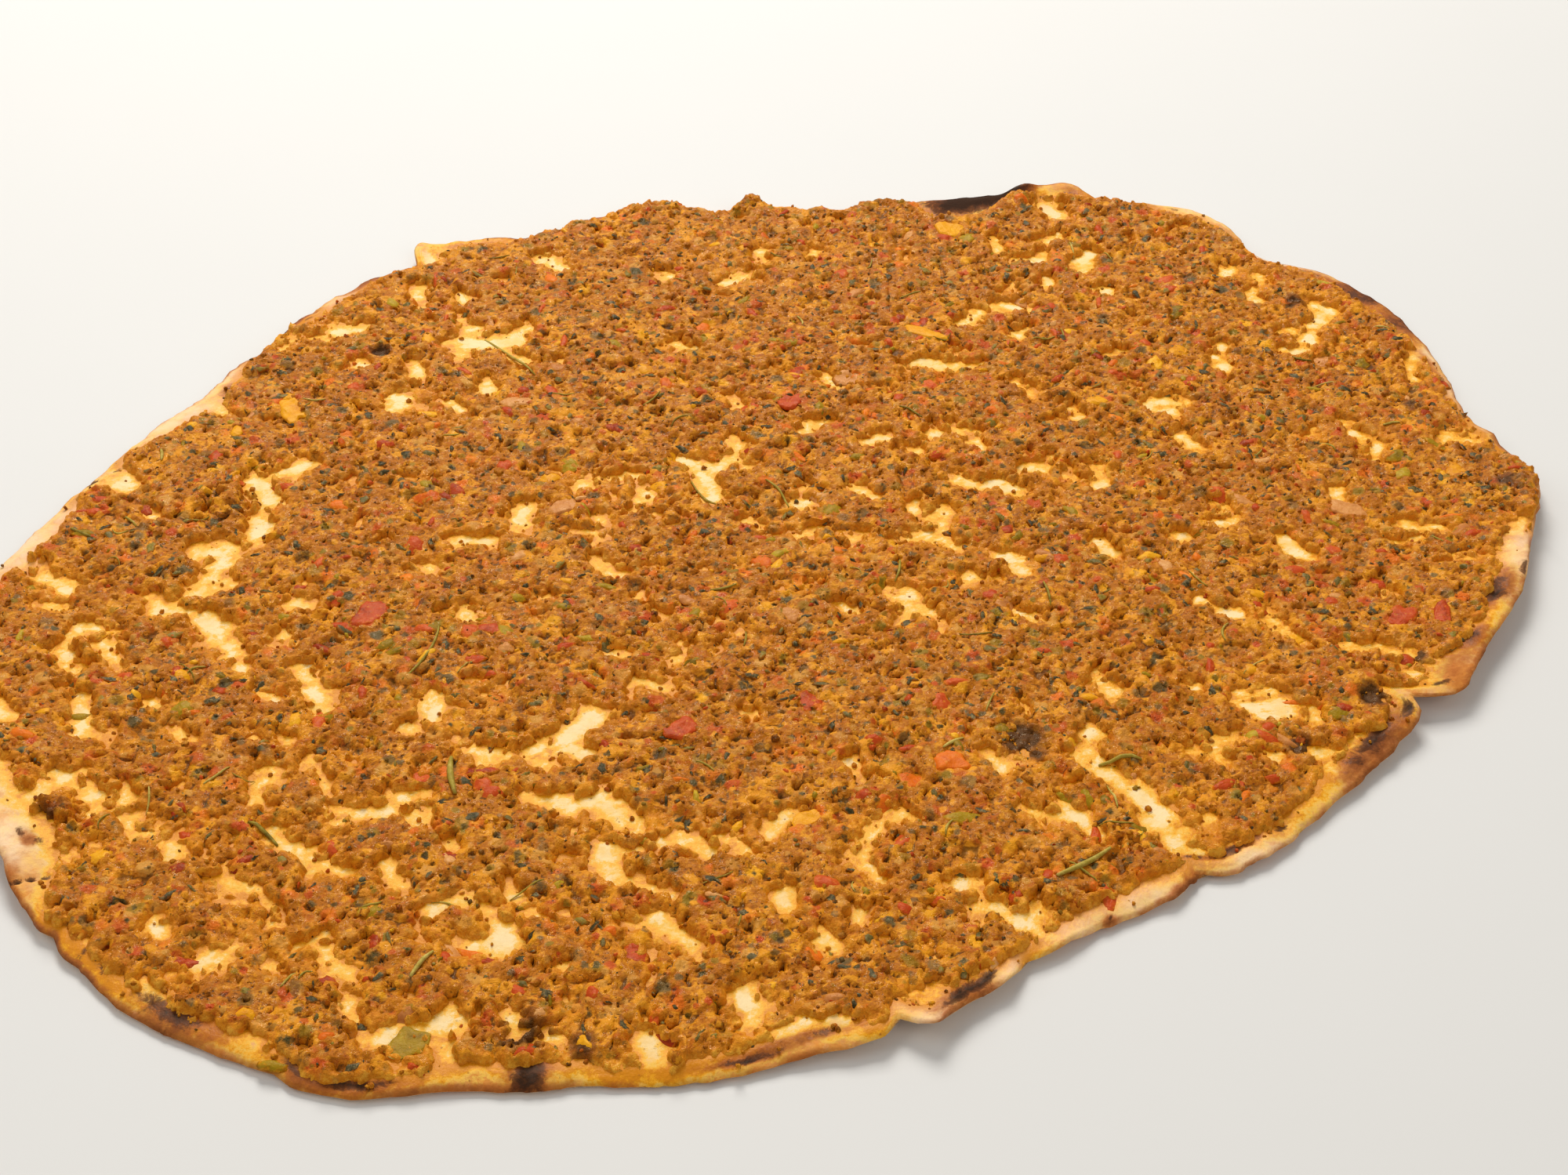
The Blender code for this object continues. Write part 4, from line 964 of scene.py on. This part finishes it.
starts = pickPlaces(rng, stalks["short"], 0.3)
starts = starts[polar(starts[:, 0], starts[:, 1])[1] > 10.0]
reach, heading = rng.uniform(2.5, 7.0, len(starts)), rng.uniform(0, 2 * math.pi, len(starts))
rows = np.column_stack((starts, starts[:, 0] + reach * np.cos(heading),
                        starts[:, 1] + reach * np.sin(heading),
                        rng.uniform(0.28, 0.55, len(starts)), rng.normal(0, 0.5, len(starts))))
rows = np.concatenate((np.array(stalks["long"], dtype=float), rows))
stalkPiece = makeStalks("herb_stalks", rows, np.random.default_rng(5).random(len(rows)))


def paint(red, green, blue):
    # a screen colour, 0 to 255, as the linear colour that the shader takes
    parts = [c / 255 for c in (red, green, blue)]
    return tuple(p / 12.92 if p <= 0.04045 else ((p + 0.055) / 1.055) ** 2.4 for p in parts) + (1.0,)


class Signal:
    # a value socket that takes part in ordinary arithmetic
    def __init__(self, finish, socket):
        self.finish, self.socket = finish, socket

    def math(self, operation, *others, clamp=False):
        return self.finish.add("ShaderNodeMath", {"operation": operation, "use_clamp": clamp},
                               dict(enumerate((self,) + others)))

    def __add__(self, other):
        return self.math("ADD", other)

    def __sub__(self, other):
        return self.math("SUBTRACT", other)

    def __mul__(self, other):
        return self.math("MULTIPLY", other)

    def __rsub__(self, other):
        return self.finish.add("ShaderNodeMath", {"operation": "SUBTRACT"}, {0: other, 1: self})

    __radd__ = __add__
    __rmul__ = __mul__

    def clip(self):
        return self.math("ADD", 0.0, clamp=True)

    def between(self, low, high):
        return self.math("GREATER_THAN", low) * self.math("LESS_THAN", high)

    def sibling(self, name):
        # another output of the same node
        return Signal(self.finish, self.socket.node.outputs[name])

    def band(self, low, high):
        # 0 below low, 1 above high, smooth between; low may be the larger
        return self.finish.add("ShaderNodeMapRange", {"interpolation_type": "SMOOTHSTEP"},
                               {"Value": self, "From Min": low, "From Max": high})


class Finish:
    # one material on the Principled shader
    def __init__(self, name, **constants):
        self.material = bpy.data.materials.new(name)
        self.material.use_nodes = True
        self.tree = self.material.node_tree
        self.shader = self.tree.nodes["Principled BSDF"]
        for socket, value in constants.items():
            self.shader.inputs[socket.replace("_", " ")].default_value = value
        self.place = self.add("ShaderNodeTexCoord", {}, {}, "Object")

    def add(self, kind, settings, sockets, out=0):
        node = self.tree.nodes.new(kind)
        for key, value in settings.items():
            setattr(node, key, value)
        for key, value in sockets.items():
            if isinstance(value, Signal):
                self.tree.links.new(value.socket, node.inputs[key])
            else:
                node.inputs[key].default_value = value
        return Signal(self, node.outputs[out])

    def noise(self, size, detail=3.0, roughness=0.6, distortion=0.0):
        # cloudy noise from 0 to 1, with features of about this many millimetres
        return self.add("ShaderNodeTexNoise", {},
                        {"Vector": self.place, "Scale": 1000.0 / size, "Detail": detail,
                         "Roughness": roughness, "Distortion": distortion})

    def cells(self, size):
        return self.add("ShaderNodeTexVoronoi", {"feature": "F1"},
                        {"Vector": self.place, "Scale": 1000.0 / size}, "Distance")

    def chips(self, size, bend):
        # cells with ragged borders: distance from each one's middle, and its own two random values
        cloud = self.add("ShaderNodeTexNoise", {},
                         {"Vector": self.place, "Scale": 1100.0 / size, "Detail": 3.0}, 1)
        moved = self.add("ShaderNodeVectorMath", {"operation": "MULTIPLY_ADD"},
                         {0: cloud, 1: (bend * mm, bend * mm, bend * mm), 2: self.place})
        away = self.add("ShaderNodeTexVoronoi", {}, {"Vector": moved, "Scale": 1000.0 / size})
        colour = away.sibling("Color")
        return away, self.channel(colour, 0), self.channel(colour, 1)

    def attribute(self, name):
        return self.add("ShaderNodeAttribute", {"attribute_name": name}, {}, "Fac")

    def mix(self, factor, first, second):
        return self.add("ShaderNodeMix", {"data_type": "RGBA"}, {0: factor, 6: first, 7: second}, 2)

    def channel(self, colour, number):
        return self.add("ShaderNodeSeparateColor", {}, {0: colour}, number)

    def bump(self, height, depth):
        return self.add("ShaderNodeBump", {}, {"Strength": 1.0, "Distance": depth * mm, "Height": height})

    def connect(self, **sockets):
        for socket, value in sockets.items():
            self.tree.links.new(value.socket, self.shader.inputs[socket.replace("_", " ")])

    def give(self, *pieces):
        for piece in pieces:
            piece.data.materials.clear()
            piece.data.materials.append(self.material)


# the near-black brown is painted shade in pores and hollows, and the darkest scorching
minceColours = {
    "light": paint(214, 140, 24), "middle": paint(170, 94, 2), "dark": paint(84, 38, 2),
    "shadeAndChar": paint(44, 18, 2), "red": paint(184, 64, 14), "oil": paint(226, 148, 24),
    "herb": paint(64, 56, 24), "slate": paint(84, 76, 46), "tan": paint(200, 138, 54),
    "smear": paint(216, 132, 22), "film": paint(232, 170, 54), "roast": paint(108, 52, 8),
    "orange": paint(216, 102, 16), "olive": paint(134, 104, 20), "yellow": paint(230, 158, 14),
}


# which share of the chips in the mince has which colour
minceChips = {
    "large": (("red", 0.12), ("orange", 0.08), ("tan", 0.10), ("yellow", 0.04), ("olive", 0.08),
              ("slate", 0.05), ("herb", 0.04)),
    "small": (("red", 0.04), ("tan", 0.10), ("oil", 0.10), ("olive", 0.06), ("herb", 0.07), ("slate", 0.05)),
}


def minceShade(f, tone):
    # crumb colours common to the layer and its loose crumbs: a tone for each crumb and four noises, then
    # soft patches, and chips of tomato, pepper, onion and herb that lie flush in the mince, and painted shade
    # in fine pits
    c = minceColours
    shade = (tone * 0.35 + f.noise(3.4, 3.0) * 0.5 + f.noise(1.2, 3.0, 0.7) * 0.8
             + f.noise(0.45, 3.0, 0.8) * 0.7 + f.noise(22.0) * 0.3 - 0.81)
    colour = f.mix(shade.band(0.16, 0.46), c["dark"], c["middle"])
    colour = f.mix(shade.band(0.46, 0.86), colour, c["light"])
    colour = f.mix(f.noise(3.1, 3.0, 0.6, 0.8).band(0.54, 0.7) * 0.45, colour, c["red"])
    colour = f.mix(f.noise(5.4, 4.0, 0.75, 0.6).band(0.52, 0.62) * 0.8, colour, c["oil"])
    colour = f.mix(f.noise(5.0, 4.0, 0.7, 0.5).band(0.57, 0.72) * 0.5, colour, c["roast"])
    ragged = f.noise(0.7, 2.0) * 0.3
    for size, kinds in ((3.8, minceChips["large"]), (2.0, minceChips["small"])):
        away, kind, strength = f.chips(size, size * 0.6)
        inside = (away + ragged).band(0.66, 0.42) * (strength * 0.5 + 0.5)
        start = 0.0
        for label, share in kinds:
            colour = f.mix(inside * kind.between(start, start + share), colour, c[label])
            start += share
    # painted shade: small near-black spots where pores would lie in shadow
    shadeAndChar = (f.cells(1.3) + ragged * 0.8).band(0.36, 0.22) * f.noise(2.6, 2.0).band(0.48, 0.6)
    return f.mix(shadeAndChar * 0.85, colour, c["shadeAndChar"])


def minceFinish():
    c = minceColours
    f = Finish("cooked_mince", Roughness=0.5, Specular_IOR_Level=0.3, Specular_Tint=(1.0, 0.76, 0.42, 1.0))
    tone, hollowShade, thin = f.attribute("tone"), f.attribute("hollowShade"), f.attribute("thin")
    colour = minceShade(f, tone)
    film = thin + f.noise(1.6, 4.0, 0.8) * 1.8 - 0.9
    colour = f.mix(film.band(0.35, 0.8) * 0.6, colour, c["smear"])
    colour = f.mix(film.band(0.8, 1.2) * 0.7, colour, c["film"])
    # scorched places, and painted shade in the dips, turn roast brown and then near-black
    scorchAndDipShade = f.attribute("scorchAndDipShade") + f.noise(1.4, 4.0, 0.8) * 0.8 - 0.4
    colour = f.mix(scorchAndDipShade.band(0.25, 0.6) * 0.7, colour, c["roast"])
    colour = f.mix(scorchAndDipShade.band(0.6, 1.0) * 0.8, colour, c["shadeAndChar"])
    # painted shade: the mince's hollows darkened towards near-black
    colour = f.mix((hollowShade - thin * 0.4).band(0.45, 1.0) * 0.85, colour, c["shadeAndChar"])
    f.connect(Base_Color=colour, Roughness=minceRoughness(f),
              Normal=f.bump(f.noise(1.1, 3.0, 0.7) + f.cells(0.8) * 0.25, 0.42))
    return f


def minceRoughness(f):
    # dull crumbs with moist patches between them
    return 0.62 - f.noise(1.3).band(0.48, 0.62) * 0.42


def crumbFinish():
    f = Finish("mince_crumb", Roughness=0.5, Specular_IOR_Level=0.3, Specular_Tint=(1.0, 0.76, 0.42, 1.0))
    f.connect(Base_Color=minceShade(f, f.attribute("tone")), Roughness=minceRoughness(f),
              Normal=f.bump(f.noise(0.5, 3.0, 0.8), 0.35))
    return f


doughColours = {
    "pale": paint(238, 212, 160), "butter": paint(234, 184, 80), "oil": paint(232, 160, 22),
    "smear": paint(204, 124, 8), "crust": paint(242, 194, 104), "rim": paint(228, 176, 116),
    "gold": paint(214, 134, 50), "rust": paint(168, 88, 28), "brown": paint(132, 68, 24),
    "dark": paint(76, 36, 14), "char": paint(42, 24, 14), "flour": paint(240, 208, 170),
    "base": paint(226, 178, 124),
}


def doughFinish():
    c = doughColours
    f = Finish("baked_dough", Roughness=0.6, Specular_IOR_Level=0.25, Specular_Tint=(1.0, 0.85, 0.65, 1.0))
    rim = f.attribute("rim")
    char, brown, flour, gold = (f.attribute(label) for label in ("char", "brown", "flour", "gold"))
    cloud, fine = f.noise(5.0, 4.0), f.noise(1.2, 3.0)
    # millimetres inside the mince, made ragged: the oil film grows darker towards the mince
    wet = f.attribute("inside") + f.noise(2.4, 4.0, 0.75) * 5.0 + f.noise(0.8, 3.0, 0.8) * 2.6 - 4.15
    wet = wet + rim * 1.8
    colour = f.mix(cloud.band(0.4, 0.7) * 0.6, c["pale"], c["butter"])
    blotch = f.noise(2.6, 4.0, 0.7)
    colour = f.mix(rim, colour, f.mix(blotch.band(0.4, 0.62), c["rim"], c["crust"]))
    colour = f.mix(rim * f.noise(3.6, 4.0, 0.75, 0.5).band(0.44, 0.64) * 0.8, colour, c["gold"])
    colour = f.mix(rim * f.noise(1.6, 4.0, 0.8).band(0.6, 0.74) * 0.5, colour, c["rust"])
    colour = f.mix((gold * (0.6 + cloud * 0.9)).clip() * 0.9, colour, c["gold"])
    colour = f.mix(wet.band(-2.6, -1.4), colour, c["butter"])
    stain = wet.band(-1.7, -0.6)
    colour = f.mix(stain, colour, c["oil"])
    colour = f.mix(wet.band(-1.0, 0.2) * 0.9, colour, c["smear"])
    speck = f.cells(2.0).band(0.14, 0.06) * f.noise(4.0, 1.0).band(0.5, 0.6)
    colour = f.mix(speck * 0.6, colour, c["brown"])
    colour = f.mix((flour * (0.5 + fine * 0.9)).clip() * 0.75, colour, c["flour"])
    burnt = brown * (0.1 + fine * 0.9 + f.noise(3.0, 4.0, 0.75, 0.8) * 0.9)
    colour = f.mix(burnt.band(0.1, 0.5) * 0.85, colour, c["rust"])
    colour = f.mix(burnt.band(0.4, 0.8) * 0.85, colour, c["brown"])
    colour = f.mix(burnt.band(0.75, 1.1) * 0.9, colour, c["dark"])
    # the char value holds the oven's char and the painted shade in the crack
    ash = char + f.noise(2.2, 5.0, 0.8, 0.6) * 1.6 - 0.8
    colour = f.mix(ash.band(0.15, 0.5) * 0.85, colour, c["dark"])
    colour = f.mix(ash.band(0.45, 0.95) * 0.9, colour, c["char"])
    below = f.mix(f.noise(16.0, 4.0, 0.6, 0.4).band(0.42, 0.68), c["base"], c["gold"])
    below = f.mix(f.noise(7.0, 4.0, 0.7).band(0.58, 0.74), below, c["brown"])
    below = f.mix(f.noise(30.0, 2.0).band(0.5, 0.65) * 0.5, below, c["flour"])
    colour = f.mix(f.attribute("under"), colour, below)
    f.connect(Base_Color=colour, Roughness=0.75 - stain * 0.3 + char * 0.2,
              Normal=f.bump(f.noise(3.0, 4.0) * 0.8 + f.noise(0.8, 3.0) * 0.35, 0.35))
    return f


def fleshFinish(name, deep, plain, bright, gloss, spotted=0.5):
    # soft cooked vegetable: cloudy colour, a brighter or darker tone for each bit, a moist skin, and a rim
    # that fades into the mince
    f = Finish(name, Roughness=0.35, Specular_IOR_Level=0.2, Specular_Tint=(1.0, 0.7, 0.4, 1.0))
    shade = (f.attribute("tone") * 0.5 + f.noise(1.6, 3.0) * 0.9 - 0.25).clip()
    colour = f.mix(shade.band(0.05, 0.5), deep, plain)
    colour = f.mix(shade.band(0.45, 0.95), colour, bright)
    crumb = f.mix(f.noise(0.7, 3.0, 0.7).band(0.4, 0.6), minceColours["middle"], minceColours["light"])
    colour = f.mix(f.noise(0.9, 3.0, 0.7).band(0.56, 0.7) * spotted, colour, crumb)
    fade = f.attribute("rim") + f.noise(1.0, 3.0, 0.7) * 0.9 - 0.45
    colour = f.mix(fade.band(0.62, 1.0) * 0.85, colour, crumb)
    f.connect(Base_Color=colour, Roughness=gloss + f.noise(1.1) * 0.3,
              Normal=f.bump(f.noise(1.0, 3.0), 0.25))
    return f


fleshes = {
    "yellow_pepper": fleshFinish("yellow_pepper_flesh", paint(202, 124, 6), paint(224, 152, 14),
                                 paint(238, 180, 44), 0.28, 0.35),
    "red_pepper": fleshFinish("red_pepper_flesh", paint(134, 36, 6), paint(182, 64, 16),
                                 paint(212, 98, 34), 0.3, 0.6),
    "orange_pepper": fleshFinish("orange_pepper_flesh", paint(184, 72, 4), paint(216, 104, 14),
                                 paint(232, 134, 24), 0.3),
    "green_pepper": fleshFinish("green_pepper_flesh", paint(104, 78, 6), paint(154, 120, 14),
                                   paint(192, 160, 38), 0.3),
    "onion": fleshFinish("onion_flesh", paint(176, 104, 48), paint(200, 132, 68),
                         paint(222, 166, 100), 0.25, 0.65),
}


def herbShade():
    # dark olive, slate and brown flakes, with painted highlights on their creases
    f = Finish("dark_herb", Roughness=0.45, Specular_IOR_Level=0.25, Specular_Tint=(1.0, 0.85, 0.6, 1.0))
    tone, cloud = f.attribute("tone"), f.noise(1.1, 3.0, 0.7)
    colour = f.mix(tone.band(0.35, 0.45), paint(54, 46, 14), paint(74, 68, 42))
    colour = f.mix(tone.band(0.6, 0.68), colour, paint(98, 82, 24))
    colour = f.mix(tone.band(0.86, 0.9), colour, paint(136, 112, 30))
    # painted highlight: pale streaks where the creases catch the light
    colour = f.mix(cloud.band(0.5, 0.66) * 0.6, colour, paint(150, 130, 84))
    colour = f.mix(cloud.band(0.46, 0.3) * 0.7, colour, paint(36, 24, 6))
    fade = f.attribute("rim") + f.noise(0.8, 3.0, 0.7) * 1.5 - 0.75
    colour = f.mix(fade.band(0.5, 0.95) * 0.85, colour, minceColours["middle"])
    f.connect(Base_Color=colour, Roughness=0.36 + f.noise(0.9) * 0.3,
              Normal=f.bump(f.noise(0.9, 3.0, 0.7), 0.25))
    return f


herbFinish = herbShade()
stalkFinish = fleshFinish("herb_stalk", paint(104, 88, 22), paint(160, 138, 50),
                          paint(206, 182, 96), 0.35, 0.3)

mincedLook, crumbLook, doughLook = minceFinish(), crumbFinish(), doughFinish()
mincedLook.give(*mincePieces)
crumbLook.give(*crumbPieces)
doughLook.give(breadPiece)
for colour, piece in bitPieces.items():
    fleshes[bits[colour]["slot"]].give(piece)
for slot, group in vegetablePieces.items():
    fleshes[slot].give(*group)
herbFinish.give(herbLeaves, herbFlecks)
stalkFinish.give(stalkPiece)
print("materials")

studio = {
    "floor": paint(214, 212, 208), "world": (1.0, 1.0, 1.0), "worldStrength": 0.32,
    # place in metres, size, power in watts, colour
    "lamps": (((-0.15, 0.85, 0.95), 0.6, 16.0, (1.0, 0.98, 0.94)),
              ((-0.9, -0.2, 0.9), 0.9, 3.8, (1.0, 0.98, 0.95)),
              ((0.8, -0.8, 0.9), 1.0, 4.2, (1.0, 0.98, 0.95))),
    "cameraPlace": (0.0, -0.40502, 0.30810), "cameraAim": (0.0005, -0.0265, 0.0),
    "roll": 1.75, "lens": 55.0,
}
floorMesh = bpy.data.meshes.new("floor")
half, under = 12.0, -0.0002          # half the floor's width, and its level just under the bread
corners = [(-half, -half, under), (half, -half, under), (half, half, under), (-half, half, under)]
floorMesh.from_pydata(corners, [], [(0, 1, 2, 3)])
floor = bpy.data.objects.new("floor", floorMesh)
bpy.context.scene.collection.objects.link(floor)
floorLook = Finish("floor_paint", Roughness=0.7)
floorLook.connect(Base_Color=floorLook.mix(floorLook.noise(60.0) * 0.08, studio["floor"],
                                           paint(190, 188, 184)))
floorLook.give(floor)

world = bpy.data.worlds.new("studio")
world.use_nodes = True
bpy.context.scene.world = world
world.node_tree.nodes["Background"].inputs["Color"].default_value = studio["world"] + (1.0,)
world.node_tree.nodes["Background"].inputs["Strength"].default_value = studio["worldStrength"]
for number, (place, size, power, colour) in enumerate(studio["lamps"]):
    lamp = bpy.data.lights.new(f"lamp_{number + 1}", "AREA")
    lamp.size, lamp.energy, lamp.color = size, power, colour
    holder = bpy.data.objects.new(f"lamp_{number + 1}", lamp)
    holder.location = place
    holder.rotation_euler = (-Vector(place)).to_track_quat("-Z", "Y").to_euler()
    bpy.context.scene.collection.objects.link(holder)

shift = Vector((planMiddle[0] * mm, planMiddle[1] * mm, 0.0))
eye, aim = Vector(studio["cameraPlace"]) - shift, Vector(studio["cameraAim"]) - shift
camera = bpy.data.objects.new("camera", bpy.data.cameras.new("camera"))
camera.data.lens, camera.data.sensor_width = studio["lens"], 36.0
camera.data.clip_start = 0.01
roll = Matrix.Rotation(math.radians(studio["roll"]), 3, "Z")
turned = (aim - eye).to_track_quat("-Z", "Y").to_matrix() @ roll
camera.location, camera.rotation_euler = eye, turned.to_euler()
bpy.context.scene.collection.objects.link(camera)
bpy.context.scene.camera = camera
bpy.context.scene.view_settings.view_transform = "Standard"
